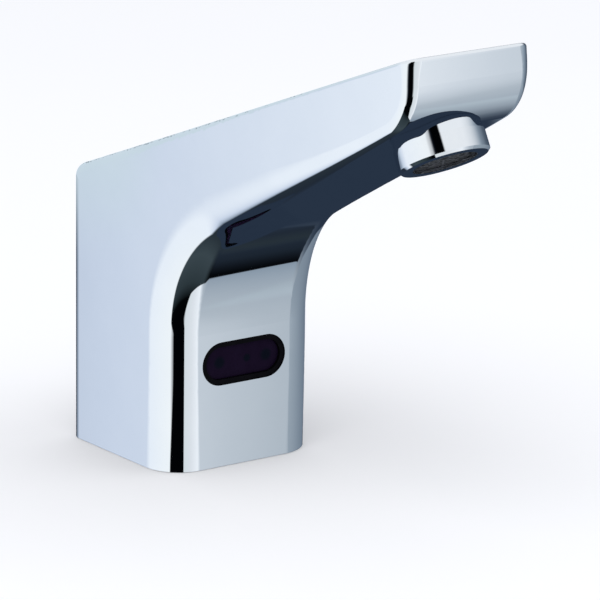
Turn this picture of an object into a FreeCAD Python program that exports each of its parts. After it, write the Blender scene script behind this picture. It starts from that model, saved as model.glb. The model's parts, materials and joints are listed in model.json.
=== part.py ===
"""Sensor tap for a washbasin: a chromed casting with the valve, the battery and the eye inside.

Millimetres and degrees. +Z is up and the spout points along -Y. The origin is the centre of
the foot, on the surface that the tap stands on.
"""
import FreeCAD, Part
import Sketcher
import math
import os
import re

# Driving dimensions: alias, value, meaning.
SIZES = (
    # Outside of the casting
    ("base_depth", 52.7, "foot, front to back"),
    ("base_width", 55.0, "foot, side to side at the front"),
    ("side_taper", 3.0, "lean of each side towards the tip, seen from above"),
    ("rear_height", 87.2, "height of the back edge"),
    ("top_slope", 21.8, "rise of the top face"),
    ("tip_reach", 139.6, "centre of the foot to the tip"),
    ("underside_slope", 30.1, "rise of the spout's underside"),
    ("throat_drop", 18.3, "back edge down to where the underside would meet the column's front"),
    ("throat_radius", 45.0, "hollow curve between column and underside"),
    ("tip_radius", 18.3, "roll from the tip into the underside"),
    ("corner_radius", 12.3, "upright front corners of the column"),
    ("throat_edge", 11.4, "lower edges of the spout, at the throat"),
    ("spout_edge", 3.6, "lower edges of the spout, near the tip"),
    ("tip_corner", 5.0, "upright corners of the tip"),
    ("rear_corner", 5.0, "upright corners of the back"),
    ("rear_top", 3.5, "upper edge of the back"),
    ("top_edge", 1.0, "edge round the top face"),
    ("wall_thick", 3.0, "wall of the casting"),
    ("hollow_edge", 4.0, "smallest radius on the hollow's lower edges"),
    ("hollow_top", 0.4, "smallest radius on the hollow's upper edge at the back"),
    ("hollow_roll", 3.0, "roll of the hollow's tip, closer than outside by so many walls"),
    # Outlet, measured along its axis from the plane of the underside
    ("outlet_inset", 15.7, "outlet behind the tip, on the underside"),
    ("boss_radius", 13.3, "collar cast on the underside"),
    ("boss_height", 2.0, "collar below the underside"),
    ("thread_radius", 11.5, "bore for an M24x1 aerator"),
    ("ring_radius", 13.7, "visible ring of the aerator"),
    ("ring_height", 6.6, "visible ring of the aerator"),
    ("ring_chamfer", 0.8, "lower edge of the visible ring"),
    ("thread_gap", 0.1, "neck of the aerator in its bore and insert in the neck"),
    ("lip_radius", 9.7, "mouth of the aerator"),
    ("lip_height", 1.2, "lip that holds the insert"),
    ("insert_radius", 10.4, "jet former in the aerator"),
    ("insert_wall", 1.0, "rim of the jet former"),
    ("insert_sink", 0.3, "jet former below the top of the neck"),
    ("shelf_wall", 0.7, "rim of the jet former beside the flow plate"),
    ("shelf_height", 5.0, "seat of the flow plate, above the foot of the jet former"),
    ("jet_ring", 1.6, "smallest ring of the jet former, inside"),
    ("jet_pitch", 2.6, "between the rings of the jet former"),
    ("rib_thick", 0.6, "ribs and rings of the jet former"),
    ("rib_height", 2.6, "depth of the ribs"),
    ("flow_thick", 1.15, "flow plate"),
    ("flow_hole", 0.6, "holes of the flow plate, radius"),
    ("flow_inner", 3.5, "inner circle of holes in the flow plate"),
    ("flow_outer", 6.9, "outer circle of holes in the flow plate"),
    ("neck_height", 4.6, "threaded neck above the ring"),
    ("washer_thick", 1.6, "washer between neck and elbow"),
    ("elbow_radius", 11.2, "elbow block above the aerator"),
    ("elbow_height", 9.2, "elbow block above the aerator"),
    ("elbow_bore", 7.0, "chamber of the elbow, radius"),
    ("elbow_roof", 2.0, "roof of the elbow's chamber, above the water way"),
    ("tube_radius", 3.5, "spout tube, outside"),
    ("tube_wall", 0.9, "spout tube"),
    ("tube_stop", 0.3, "spout tube, short of the elbow's chamber"),
    ("tube_entry", 7.0, "spout tube in the valve"),
    ("tube_groove_deep", 1.0, "grooves round the spout tube"),
    ("tube_groove_wide", 1.7, "grooves round the spout tube"),
    ("elbow_ring_inset", 2.6, "O-ring behind the outside of the elbow"),
    ("spigot_ring_inset", 3.0, "O-ring behind the mouth of the valve's outlet"),
    ("o_ring_radius", 0.44, "section of the O-rings"),
    # Clearances
    ("slide_gap", 0.08, "running clearance, on the radius"),
    ("seat_gap", 0.05, "between pieces that are pushed together"),
    ("hole_gap", 0.1, "screws and seals in their holes, on the radius"),
    ("head_gap", 0.2, "screws under the base plate, on the radius"),
    ("plate_gap", 0.2, "base plate to casting"),
    # Base
    ("plate_thick", 5.0, "base plate"),
    ("plate_corner", 1.0, "rear corners of the base plate"),
    ("gasket_width", 2.0, "gasket round the base plate"),
    ("gasket_height", 1.5, "gasket round the base plate"),
    ("stud_spacing", 29.0, "between the two mounting studs"),
    ("stud_hole", 2.5, "M6 tapping hole, radius"),
    ("stud_boss", 4.5, "boss round each stud, radius"),
    ("stud_boss_height", 6.0, "boss above the plate"),
    ("sink_edge", 0.5, "seats of the base screws, from the gasket"),
    ("pillar_radius", 2.7, "pillars that take the base screws"),
    ("pillar_gap", 0.5, "rear pillars to the battery holder"),
    ("pillar_height", 12.0, "pillars above the plate"),
    ("pillar_end", 3.0, "pillars above their holes"),
    ("screw_radius", 1.5, "M3 screws"),
    ("screw_head", 2.7, "M3 screw heads, radius"),
    ("head_height", 1.8, "M3 screw heads"),
    ("head_edge", 0.5, "rounding of the screw heads"),
    ("screw_tip", 0.5, "pointed end of the screws"),
    ("screw_key", 2.3, "hexagon socket of the screws, across flats"),
    ("key_floor", 0.7, "head under the hexagon socket"),
    ("head_sink", 2.2, "seats of the screws under the base plate"),
    # Inlet, upright behind the sensor
    ("inlet_forward", 6.0, "inlet axis, forward of the foot's centre"),
    ("inlet_thread", 4.5, "M10x1 bore for a hose tail, radius"),
    ("thread_depth", 12.0, "M10x1 bore"),
    ("riser_radius", 7.0, "riser, outside"),
    ("riser_bore", 5.0, "riser, inside"),
    ("riser_root", 6.5, "riser where it screws into the plate, radius"),
    ("riser_edge", 0.8, "top edge of the riser"),
    ("riser_groove_deep", 0.9, "grooves of the riser"),
    ("riser_groove_wide", 1.4, "grooves of the riser"),
    ("riser_groove_pitch", 2.4, "between the grooves, and the upper one to the top"),
    ("riser_drop", 18.0, "axis of the valve down to the top of the riser"),
    ("hex_height", 3.0, "hexagon on the riser"),
    ("hex_flats", 17.0, "hexagon on the riser"),
    ("filter_rim", 1.0, "rim of the filter"),
    ("filter_step", 0.5, "screen of the filter, inside its rim"),
    ("filter_taper", 0.2, "screen of the filter, closer at the top"),
    ("filter_mesh", 0.4, "screen of the filter"),
    ("filter_gap", 0.1, "filter above the thread"),
    ("filter_top", 0.3, "filter below the check valve"),
    ("check_bore", 3.4, "bore under the check valve, radius"),
    ("check_seat", 16.0, "foot of the check valve"),
    ("check_lip", 2.5, "seat of the check valve, above its foot"),
    ("check_hole", 2.6, "hole through the seat of the check valve, radius"),
    ("check_travel", 1.5, "lift of the check valve"),
    ("check_room", 3.4, "room for the spring at full lift"),
    ("cage_wall", 0.9, "check valve cage"),
    ("poppet_radius", 3.4, "disc of the poppet"),
    ("poppet_disc", 1.2, "disc of the poppet"),
    ("poppet_tall", 1.8, "poppet up to its stem"),
    ("stem_radius", 1.0, "stem of the poppet"),
    ("stem_end", 0.4, "stem of the poppet, below the top of the cage"),
    ("guide_thick", 1.8, "guide of the poppet"),
    ("guide_hub", 1.9, "hub of the guide, radius"),
    ("guide_rim", 0.65, "rim of the guide"),
    ("guide_arm", 0.8, "arms of the guide"),
    ("check_coil", 2.6, "spring of the check valve, mean radius"),
    ("check_wire", 0.3, "spring of the check valve, radius of the wire"),
    ("spring_gap", 0.1, "springs to their seats"),
    # Valve, measured along its axis from the seat towards the back
    ("valve_drop", 18.65, "back edge down to the axis of the valve"),
    ("seat_forward", 3.5, "seat, forward of the foot's centre"),
    ("valve_radius", 15.0, "valve body and bonnet"),
    ("valve_edge", 1.0, "outer edges of valve body and bonnet"),
    ("body_length", 9.0, "valve body in front of the seat"),
    ("body_front", 3.0, "front wall of the valve body"),
    ("screw_end", 1.5, "valve body in front of its screw holes"),
    ("chamber_radius", 9.0, "ring chamber round the seat"),
    ("chamber_depth", 6.0, "ring chamber round the seat"),
    ("seat_hole", 3.2, "hole through the seat, radius"),
    ("seat_rim", 4.8, "seat, outside radius"),
    ("feed_radius", 2.6, "hole from the riser into the ring chamber"),
    ("feed_forward", 3.0, "hole into the ring chamber, in front of the seat"),
    ("diaphragm_radius", 11.0, "rubber diaphragm"),
    ("diaphragm_hole", 2.2, "hole in the diaphragm, radius"),
    ("diaphragm_thick", 1.4, "rubber diaphragm"),
    ("diaphragm_gap", 0.1, "diaphragm in the bonnet"),
    ("plate_disc", 6.4, "plate behind the diaphragm, radius"),
    ("plate_rise", 1.1, "plate behind the diaphragm, with its gap"),
    ("plate_neck", 2.1, "plate inside the diaphragm, radius"),
    ("plate_foot", 2.6, "guide in the seat's hole, radius"),
    ("plate_foot_start", 0.1, "guide in the seat's hole, in front of the seat"),
    ("plate_foot_end", 1.8, "guide in the seat's hole, in front of the seat"),
    ("plate_foot_edge", 0.6, "edge of the guide in the seat's hole"),
    ("pilot_hole", 0.6, "pilot hole, radius"),
    ("pilot_wall", 0.5, "pilot seat round the pilot hole"),
    ("pilot_flare", 0.5, "pilot seat, wider at its root"),
    ("bonnet_length", 7.0, "bonnet behind the seat"),
    ("pilot_radius", 8.5, "pilot chamber in the bonnet"),
    ("pilot_depth", 5.0, "pilot chamber in the bonnet"),
    ("valve_screw_ring", 12.9, "circle of the bonnet screws, radius"),
    ("valve_screw_bite", 5.0, "bonnet screws in the valve body"),
    ("core_radius", 5.0, "core tube, outside"),
    ("core_wall", 0.8, "core tube"),
    ("core_flange", 7.4, "flange of the core tube, radius"),
    ("flange_thick", 0.55, "flange of the core tube"),
    ("stub_radius", 3.0, "end of the core tube that takes the nut"),
    ("stub_end", 0.2, "end of the core tube beyond the nut"),
    ("coil_start", 8.1, "front of the coil"),
    ("coil_length", 13.8, "coil"),
    ("coil_radius", 9.8, "coil flanges"),
    ("bobbin_flange", 0.8, "flanges of the bobbin"),
    ("bobbin_wall", 0.85, "barrel of the bobbin"),
    ("winding_inset", 0.5, "winding inside the edge of the flanges"),
    ("yoke_gap", 0.3, "yoke to the coil flanges"),
    ("yoke_short", 1.0, "ends of the yoke inside the edge of the flanges"),
    ("yoke_thick", 0.9, "steel yoke round the coil"),
    ("yoke_width", 12.0, "steel yoke round the coil"),
    ("nut_height", 2.2, "nut that holds the coil"),
    ("nut_flats", 13.0, "nut that holds the coil, across flats"),
    ("plunger_start", 3.45, "tip of the plunger"),
    ("plunger_end", 13.0, "back of the plunger"),
    ("plunger_travel", 2.0, "lift of the plunger"),
    ("pole_rest", 0.5, "plunger to pole piece, at full lift"),
    ("nose_radius", 2.2, "nose of the plunger"),
    ("nose_length", 2.2, "nose of the plunger"),
    ("seal_radius", 1.5, "pilot seal"),
    ("seal_length", 2.05, "pilot seal"),
    ("seal_out", 0.4, "pilot seal in front of the plunger"),
    ("spring_bore", 2.6, "bore for the plunger's spring, radius"),
    ("spring_bore_depth", 4.5, "bore for the plunger's spring"),
    ("plunger_coil", 2.0, "spring of the plunger, mean radius"),
    ("plunger_wire", 0.25, "spring of the plunger, radius of the wire"),
    ("socket_radius", 9.2, "socket under the valve that takes the riser"),
    ("socket_depth", 5.8, "socket under the valve that takes the riser"),
    ("socket_roof", 2.4, "top of the socket, above the riser"),
    ("valve_neck", 16.0, "neck between socket and valve, side to side"),
    ("neck_step", 0.4, "neck inside the ends of what it joins"),
    ("chamber_wall", 1.4, "neck to the ring chamber"),
    ("spigot_radius", 6.4, "outlet of the valve"),
    ("spigot_length", 16.0, "outlet of the valve, from the axis"),
    ("spigot_root", 4.0, "outlet of the valve, short of the axis"),
    # Sensor
    ("window_height", 33.0, "centre of the window above the foot"),
    ("window_margin", 12.25, "side of the column to the opening in the casting"),
    ("window_tall", 13.8, "opening in the casting"),
    ("pad_margin", 2.0, "flat pad round the opening, inside"),
    ("pad_thick", 0.6, "flat pad round the opening, inside"),
    ("nose_gap", 0.1, "nose of the housing in the opening"),
    ("bezel_width", 1.6, "black rim round the lens"),
    ("bezel_recess", 0.4, "rim behind the column's front"),
    ("lens_recess", 1.0, "lens behind the rim"),
    ("lens_thick", 1.6, "lens"),
    ("lens_ledge", 1.2, "ledge behind the lens"),
    ("case_side", 2.4, "case beyond the opening, at each end"),
    ("case_rise", 3.3, "case above and below the opening"),
    ("case_depth", 7.5, "case behind the wall"),
    ("case_wall", 1.2, "case behind the wall"),
    ("case_gap", 1.1, "case to the wall, filled by the gasket"),
    ("gasket_inset", 0.5, "window gasket, inside the edge of the pad"),
    ("gasket_hole", 0.2, "window gasket, outside the opening"),
    ("cover_thick", 1.0, "back cover of the case"),
    ("board_thick", 1.2, "circuit board"),
    ("emitter_inset", 5.4, "emitter, from the left end of the lens"),
    ("receiver_inset", 4.6, "receiver, from the right end of the lens"),
    ("lamp_pitch", 7.0, "indicator, left of the receiver"),
    ("eye_radius", 2.3, "emitter and receiver"),
    ("eye_length", 4.6, "emitter and receiver"),
    ("lamp_radius", 1.4, "indicator"),
    ("lamp_length", 3.6, "indicator"),
    ("eye_flange", 0.3, "flange at the foot of each diode"),
    ("eye_foot", 0.5, "height of that flange"),
    ("eye_nose", 0.8, "rounded nose of each diode"),
    ("board_depth", 4.0, "front of the case to the board"),
    ("board_gap", 0.2, "circuit board in the case"),
    ("ear_step", 2.0, "ears, behind the front of the case"),
    ("ear_thick", 2.0, "ears that take the sensor screws"),
    ("ear_root", 0.2, "ears into the case"),
    ("ear_boss", 3.2, "bosses that take the sensor screws, radius"),
    ("boss_sink", 1.1, "holes of the sensor screws, into the wall"),
    ("ear_screw", 5.5, "sensor screws, length"),
    ("ear_height", 7.0, "ears that take the sensor screws"),
    ("ear_width", 8.0, "ears that take the sensor screws"),
    # Battery
    ("cell_width", 34.0, "6 V lithium battery"),
    ("cell_depth", 17.0, "6 V lithium battery"),
    ("cell_tall", 45.0, "6 V lithium battery"),
    ("cell_corner", 3.0, "6 V lithium battery, upright edges"),
    ("cell_gap", 0.2, "battery in its holder"),
    ("holder_gap", 0.55, "battery holder to the back wall"),
    ("holder_wall", 1.0, "battery holder"),
    ("holder_tall", 34.0, "battery holder"),
    ("holder_side", 11.0, "screws of the battery holder, from the middle"),
    ("peg_radius", 2.8, "pegs under the battery holder"),
    ("peg_depth", 1.8, "pegs under the battery holder"),
    ("peg_floor", 0.2, "floor of the holder above the screw holes"),
    ("peg_screw_end", 0.4, "screws below the floor of the holder"),
    ("cap_tall", 8.0, "cap over the battery"),
    ("cap_gap", 0.1, "cap over the battery"),
    ("cap_wall", 0.6, "cap over the battery"),
    ("cap_top", 1.4, "cap over the battery"),
    ("contact_thick", 0.4, "contacts under the cap"),
    ("contact_gap", 0.02, "contacts to battery and cap"),
    ("contact_side", 8.0, "contacts, from the middle"),
    ("contact_width", 6.0, "contacts"),
    ("contact_length", 7.0, "contacts, front to back"),
    # Leads
    ("wire_radius", 0.6, "one wire"),
    ("wire_pitch", 1.5, "between the two wires of a lead"),
    ("lead_inset", 3.5, "leads, from the sides of the battery"),
    ("lead_drop", 3.0, "leads, below the top of the case"),
    ("lead_clear", 3.5, "valve lead, beside the valve"),
    ("lead_out", 2.0, "valve lead, out of the coil and behind its front"),
    ("lead_fall", 4.0, "valve lead, below the valve's axis"),
    ("lead_slope", 6.0, "valve lead, forward and down at its first bend"),
    ("lead_bend", 7.0, "valve lead, second bend behind the case"),
    ("lead_rise", 9.0, "valve lead, second bend above its end"),
    ("lead_turn", 3.5, "valve lead, last bend behind the case"),
)

# Sizes that follow from others: alias, expression, meaning.
DERIVED = (
    ("outlet_reach", "tip_reach - outlet_inset", "centre of the foot to the outlet"),
    ("cell_back", "base_depth / 2 - wall_thick - holder_gap - holder_wall - cell_gap - cell_depth",
     "front of the battery, behind the foot's centre"),
    ("screw_inset", "plate_gap + gasket_width + sink_edge + head_gap + screw_head",
     "base screws, from the inside of the wall"),
    ("check_length", "check_lip + poppet_tall + check_travel + check_room + guide_thick",
     "check valve cage"),
    ("pole_gap", "plunger_travel + pole_rest", "plunger to pole piece, at rest"),
    ("window_width", "base_width - 2 * window_margin", "opening in the casting"),
    ("case_width", "window_width + 2 * case_side", "case behind the wall"),
    ("case_tall", "window_tall + 2 * case_rise", "case behind the wall"),
    ("lens_width", "window_width - 2 * nose_gap - 2 * bezel_width", "opening of the black rim"),
    ("lens_tall", "window_tall - 2 * nose_gap - 2 * bezel_width", "opening of the black rim"),
    ("emitter_side", "lens_width / 2 - emitter_inset", "emitter, left of the middle"),
    ("receiver_side", "lens_width / 2 - receiver_inset", "receiver, right of the middle"),
    ("lamp_side", "receiver_side - lamp_pitch", "indicator, right of the middle"),
)

X_AXIS = FreeCAD.Vector(1, 0, 0)
UP = FreeCAD.Vector(0, 0, 1)

# How far a cutting tool reaches past the face it cuts.
PAST = "1"
# A point this close to a face lies on it, and one this close to an edge belongs to it.
ON_FACE = 0.02
ON_EDGE = 0.5
# Edges up to this far behind the column's front belong to the front.
FRONT_BAND = 4.0
# Part of a straight run of a lead that each bend may take.
TURN_SHARE = 0.45

doc = FreeCAD.newDocument("sensor_tap")
sheet = doc.addObject("Spreadsheet::Sheet", "sizes")
for row, (alias, value, meaning) in enumerate(SIZES, start=1):
    sheet.set(f"A{row}", alias)
    sheet.set(f"B{row}", str(value))
    sheet.set(f"C{row}", meaning)
    sheet.setAlias(f"B{row}", alias)
for row, (alias, formula, meaning) in enumerate(DERIVED, start=len(SIZES) + 1):
    sheet.set(f"A{row}", alias)
    sheet.set(f"B{row}", f"={formula}")
    sheet.set(f"C{row}", meaning)
    sheet.setAlias(f"B{row}", alias)
doc.recompute()

sub_parts = []


# ---------------------------------------------------------------- shared functions

def link(text):
    """Expression text with each alias written as the document addresses it."""
    return re.sub(r"[a-z]+(_[a-z]+)+", lambda word: "sizes." + word.group(), text)


def size(text):
    """Present value of an expression of aliases."""
    return float(sheet.evalExpression(link(text)))


def bind(item, **properties):
    """Ties properties of an object to expressions of aliases."""
    for name, text in properties.items():
        item.setExpression(name, link(text))


def tangent(alias):
    return f"tan({alias} * 1 deg)"


def sine(alias):
    return f"sin({alias} * 1 deg)"


def cosine(alias):
    return f"cos({alias} * 1 deg)"


def keep(item, name):
    """Marks an object as a sub-part that is written to its own file."""
    item.Label = name
    sub_parts.append(item)
    return item


def new_body(name):
    return doc.addObject("PartDesign::Body", name)


def new_sketch(body, role):
    """Empty sketch on one of the body's own origin planes."""
    plane = [feature for feature in body.Origin.OriginFeatures if feature.Role == role][0]
    sketch = body.newObject("Sketcher::SketchObject", body.Name + "_sketch")
    sketch.AttachmentSupport = [(plane, "")]
    sketch.MapMode = "FlatFace"
    return sketch


def add_polygon(sketch, corners):
    """Closed loop of lines whose corners are pairs of expressions."""
    first = sketch.GeometryCount
    count = len(corners)
    points = [FreeCAD.Vector(size(across), size(along), 0) for across, along in corners]
    for index in range(count):
        sketch.addGeometry(Part.LineSegment(points[index], points[(index + 1) % count]))
    for index in range(count):
        following = first + (index + 1) % count
        sketch.addConstraint(Sketcher.Constraint("Coincident", first + index, 2, following, 1))
    for index, corner in enumerate(corners):
        for kind, text in zip(("DistanceX", "DistanceY"), corner):
            datum = Sketcher.Constraint(kind, -1, 1, first + index, 1, size(text))
            number = sketch.addConstraint(datum)
            sketch.setExpression(f"Constraints[{number}]", link(text))


def add_circle(sketch, across, along, radius):
    """Circle whose centre and radius are expressions."""
    centre = FreeCAD.Vector(size(across), size(along), 0)
    circle = sketch.addGeometry(Part.Circle(centre, UP, size(radius)))
    for kind, text in (("DistanceX", across), ("DistanceY", along)):
        number = sketch.addConstraint(Sketcher.Constraint(kind, -1, 1, circle, 3, size(text)))
        sketch.setExpression(f"Constraints[{number}]", link(text))
    number = sketch.addConstraint(Sketcher.Constraint("Radius", circle, size(radius)))
    sketch.setExpression(f"Constraints[{number}]", link(radius))


def add_slot(sketch, width, tall):
    """Slot with round ends, centred on the sketch's origin."""
    offset = f"(({width}) - ({tall})) / 2"
    radius = size(f"({tall}) / 2")
    reach = size(offset)
    right = Part.Circle(FreeCAD.Vector(reach, 0, 0), UP, radius)
    left = Part.Circle(FreeCAD.Vector(-reach, 0, 0), UP, radius)
    corner = FreeCAD.Vector(reach, radius, 0)
    arc_right = sketch.addGeometry(Part.ArcOfCircle(right, -math.pi / 2, math.pi / 2))
    top = sketch.addGeometry(Part.LineSegment(corner, FreeCAD.Vector(-reach, radius, 0)))
    arc_left = sketch.addGeometry(Part.ArcOfCircle(left, math.pi / 2, 3 * math.pi / 2))
    bottom = sketch.addGeometry(Part.LineSegment(FreeCAD.Vector(-reach, -radius, 0),
                                                 FreeCAD.Vector(reach, -radius, 0)))
    loop = (arc_right, top, arc_left, bottom)
    for index, item in enumerate(loop):
        following = loop[(index + 1) % 4]
        sketch.addConstraint(Sketcher.Constraint("Tangent", item, 2, following, 1))
    for arc, sign in ((arc_right, ""), (arc_left, "-")):
        sketch.addConstraint(Sketcher.Constraint("PointOnObject", arc, 3, -1))
        text = f"{sign}1 * {offset}"
        number = sketch.addConstraint(Sketcher.Constraint("DistanceX", -1, 1, arc, 3, size(text)))
        sketch.setExpression(f"Constraints[{number}]", link(text))
    number = sketch.addConstraint(Sketcher.Constraint("Radius", arc_right, radius))
    sketch.setExpression(f"Constraints[{number}]", link(f"({tall}) / 2"))


def pad_sketch(body, sketch, length, middle=False):
    pad = body.newObject("PartDesign::Pad", body.Name + "_pad")
    pad.Profile = sketch
    pad.Midplane = middle
    bind(pad, Length=length)
    return pad


def cut_sketch(body, sketch, length, backwards=False, middle=False):
    """Pocket that has to take something away."""
    doc.recompute()
    before = body.Shape.Volume
    pocket = body.newObject("PartDesign::Pocket", body.Name + "_pocket")
    pocket.Profile = sketch
    pocket.Midplane = middle
    pocket.Reversed = backwards
    bind(pocket, Length=length)
    doc.recompute()
    if body.Shape.Volume > before - 1e-6:
        raise RuntimeError(f"{pocket.Name} cuts nothing")
    return pocket


def turned(name, corners):
    """Body turned about its own Z axis; corners are pairs of radius and height."""
    body = new_body(name)
    sketch = new_sketch(body, "XZ_Plane")
    add_polygon(sketch, corners)
    revolution = body.newObject("PartDesign::Revolution", name + "_turn")
    revolution.Profile = sketch
    revolution.ReferenceAxis = (sketch, ["V_Axis"])
    revolution.Angle = 360
    return body


def sleeve(name, outside, inside, low, high):
    """Plain tube between two heights."""
    return turned(name, [(inside, low), (outside, low), (outside, high), (inside, high)])


def block(name, low_x, high_x, low_y, high_y, low_z, high_z):
    """Box between pairs of expressions."""
    box = doc.addObject("Part::Box", name)
    bind(box, Length=f"{high_x} - ({low_x})", Width=f"{high_y} - ({low_y})",
         Height=f"{high_z} - ({low_z})")
    box.setExpression("Placement.Base.x", link(low_x))
    box.setExpression("Placement.Base.y", link(low_y))
    box.setExpression("Placement.Base.z", link(low_z))
    return box


def rod(name, radius, height):
    """Cylinder that stands on its own origin."""
    cylinder = doc.addObject("Part::Cylinder", name)
    bind(cylinder, Radius=radius, Height=height)
    return cylinder


def place(item, across, along, height, tilt=None):
    """Puts an object at three expressions, tilted back about X by a fourth."""
    turn = FreeCAD.Rotation()
    if tilt is not None:
        turn = FreeCAD.Rotation(-X_AXIS, size(tilt))
    item.Placement = FreeCAD.Placement(FreeCAD.Vector(), turn)
    item.setExpression("Placement.Base.x", link(across))
    item.setExpression("Placement.Base.y", link(along))
    item.setExpression("Placement.Base.z", link(height))
    if tilt is not None:
        item.setExpression("Placement.Rotation.Angle", link(f"{tilt} * 1 deg"))
    return item


def joined(name, *items):
    fuse = doc.addObject("Part::MultiFuse", name)
    fuse.Shapes = list(items)
    return fuse


def cut(name, base, tool):
    result = doc.addObject("Part::Cut", name)
    result.Base = base
    result.Tool = tool
    return result


def copies(name, item, placements):
    """One node that holds several equal pieces."""
    doc.recompute()
    shapes = []
    for placement in placements:
        shape = item.Shape.copy()
        shape.Placement = placement.multiply(shape.Placement)
        shapes.append(shape)
    group = doc.addObject("Part::Feature", name)
    group.Shape = Part.makeCompound(shapes)
    return keep(group, name)


def edge_names(shape, test):
    """Names of the edges whose two ends and middle pass a test."""
    names = []
    for number, edge in enumerate(shape.Edges, start=1):
        ends = [edge.valueAt(edge.FirstParameter), edge.valueAt(edge.LastParameter)]
        if test(ends[0], ends[1], edge.CenterOfMass):
            names.append(f"Edge{number}")
    return names


def round_edges(body, radius, test):
    """Fillet of constant radius on the body's latest feature."""
    doc.recompute()
    base = body.Tip
    names = edge_names(base.Shape, test)
    if not names:
        raise RuntimeError(f"no edge to round on {body.Name}")
    fillet = body.newObject("PartDesign::Fillet", body.Name + "_fillet")
    fillet.Base = (base, names)
    bind(fillet, Radius=radius)
    doc.recompute()
    return fillet


def upright(first, second, middle):
    """True for an edge along Z."""
    return abs(first.x - second.x) < 0.01 and abs(first.y - second.y) < 0.01


# ---------------------------------------------------------------- planes of the casting

def side_at(along, inset):
    """Half width of the casting, inset from its side, at a place along Y."""
    return (f"(base_width / 2 + ({along} + base_depth / 2) * {tangent('side_taper')}"
            f" - {inset} / {cosine('side_taper')})")


def top_at(along, inset):
    """Height of the top face, or of the hollow under it."""
    return (f"(rear_height + (base_depth / 2 - ({along})) * {tangent('top_slope')}"
            f" - {inset} / {cosine('top_slope')})")


def underside_at(along, inset):
    """Height of the underside, or of the hollow above it."""
    return (f"(rear_height - throat_drop - ({along} + base_depth / 2) * {tangent('underside_slope')}"
            f" + {inset} / {cosine('underside_slope')})")


# ---------------------------------------------------------------- body casting

def tap_form(name, inset, foot):
    """The tap's outside, or its hollow when inset is the wall, with its cross edges rounded."""
    back = f"(base_depth / 2 - {inset})"
    front = f"(-base_depth / 2 + {inset})"
    tip = f"(-tip_reach + {inset})"
    body = new_body(name)
    profile = new_sketch(body, "YZ_Plane")
    add_polygon(profile, [(back, foot), (back, top_at(back, inset)), (tip, top_at(tip, inset)),
                          (tip, underside_at(tip, inset)), (front, underside_at(front, inset)),
                          (front, foot)])
    pad_sketch(body, profile, "2 * base_width", middle=True)
    sides = new_sketch(body, "XY_Plane")
    near = "(-tip_reach - wall_thick)"
    far = "(base_depth / 2 + wall_thick)"
    for sign in ("", "-"):
        add_polygon(sides, [(f"{sign}{side_at(near, inset)}", near),
                            (f"{sign}{side_at(far, inset)}", far),
                            (f"{sign}1.1 * base_width", far), (f"{sign}1.1 * base_width", near)])
    cut_sketch(body, sides, "4 * tip_reach", middle=True)

    def cross_edge(along, height):
        spot = FreeCAD.Vector(0, size(along), size(height))
        return lambda first, second, middle: (middle - spot).Length < ON_EDGE

    round_edges(body, f"throat_radius + {inset}",
                cross_edge(front, underside_at(front, inset)))
    round_edges(body, f"tip_radius - hollow_roll * {inset}",
                cross_edge(tip, underside_at(tip, inset)))
    round_edges(body, f"max(rear_top - {inset}; hollow_top)", cross_edge(back, top_at(back, inset)))
    return body


def throat_end(inset):
    """Place along Y where the throat's curve meets the straight underside."""
    return (f"(-base_depth / 2 + {inset} - (throat_radius + {inset})"
            f" * {tangent('(45 - underside_slope / 2)')} * {cosine('underside_slope')})")


def side_radius(point, inset):
    """Radius of the front and lower edges: wide on the column, closer at the tip."""
    reach = -point.y
    throat = size(f"-1 * {throat_end(inset)}")
    roll = size("tip_reach - tip_radius / 2")
    if reach > size(f"tip_reach - {inset}") - 0.1:
        radius = size("tip_corner")
    elif reach < throat - 1:
        radius = size("corner_radius")
    else:
        share = (reach - throat) / (roll - throat)
        radius = size("throat_edge") + size("spout_edge - throat_edge") * share
    return radius - size(inset)


def soften(name, base, radius_at, chosen):
    """Part fillet whose radius changes along the chosen edges."""
    doc.recompute()
    edges = []
    for number, edge in enumerate(base.Shape.Edges, start=1):
        first = edge.valueAt(edge.FirstParameter)
        last = edge.valueAt(edge.LastParameter)
        if chosen(first, last, edge.CenterOfMass):
            edges.append((number, radius_at(first), radius_at(last)))
    fillet = doc.addObject("Part::Fillet", name)
    fillet.Base = base
    fillet.Edges = edges
    doc.recompute()
    return fillet


def on_top(point, inset):
    """True for a point on the sloping top face."""
    return abs(point.z - size(top_at(f"({point.y})", inset))) < ON_FACE


def front_chain(inset, foot):
    """Edges from the foot up the column, along the spout and up the tip, on both sides."""
    def chosen(first, last, middle):
        if abs(middle.x) < size("base_width / 4") or middle.y > FRONT_BAND - size("base_depth / 2"):
            return False
        if on_top(first, inset) and on_top(last, inset):
            return False
        return max(first.z, last.z) > size(foot) + ON_EDGE
    return chosen


def top_chain(first, last, middle):
    """Upright edges of the back and the whole edge round the top face."""
    back = size("base_depth / 2")
    if on_top(first, "0") and on_top(last, "0"):
        return abs(middle.x) > 1 or middle.y < -back
    return (abs(middle.x) > size("base_width / 4") and middle.y > back - size("rear_top")
            and max(first.z, last.z) > 1)


def top_radius(point):
    """Radius of the back's upright edges, and the smaller one round the top."""
    if on_top(point, "0"):
        return size("top_edge")
    return size("rear_corner")


outside = tap_form("outside_form", "0", "0")
outside_front = soften("outside_front", outside, lambda point: side_radius(point, "0"),
                       front_chain("0", "0"))
outside_whole = soften("outside_whole", outside_front, top_radius, top_chain)

hollow = tap_form("hollow_form", "wall_thick", "-1")


def hollow_radius(point):
    """Radius of the hollow's edges, which stay wide at the tip."""
    return max(side_radius(point, "wall_thick"), size("hollow_edge"))


hollow_whole = soften("hollow_whole", hollow, hollow_radius, front_chain("wall_thick", "-1"))
shell = cut("shell", outside_whole, hollow_whole)

OUTLET = ("0", "-outlet_reach", underside_at("-outlet_reach", "0"), "underside_slope")


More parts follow.
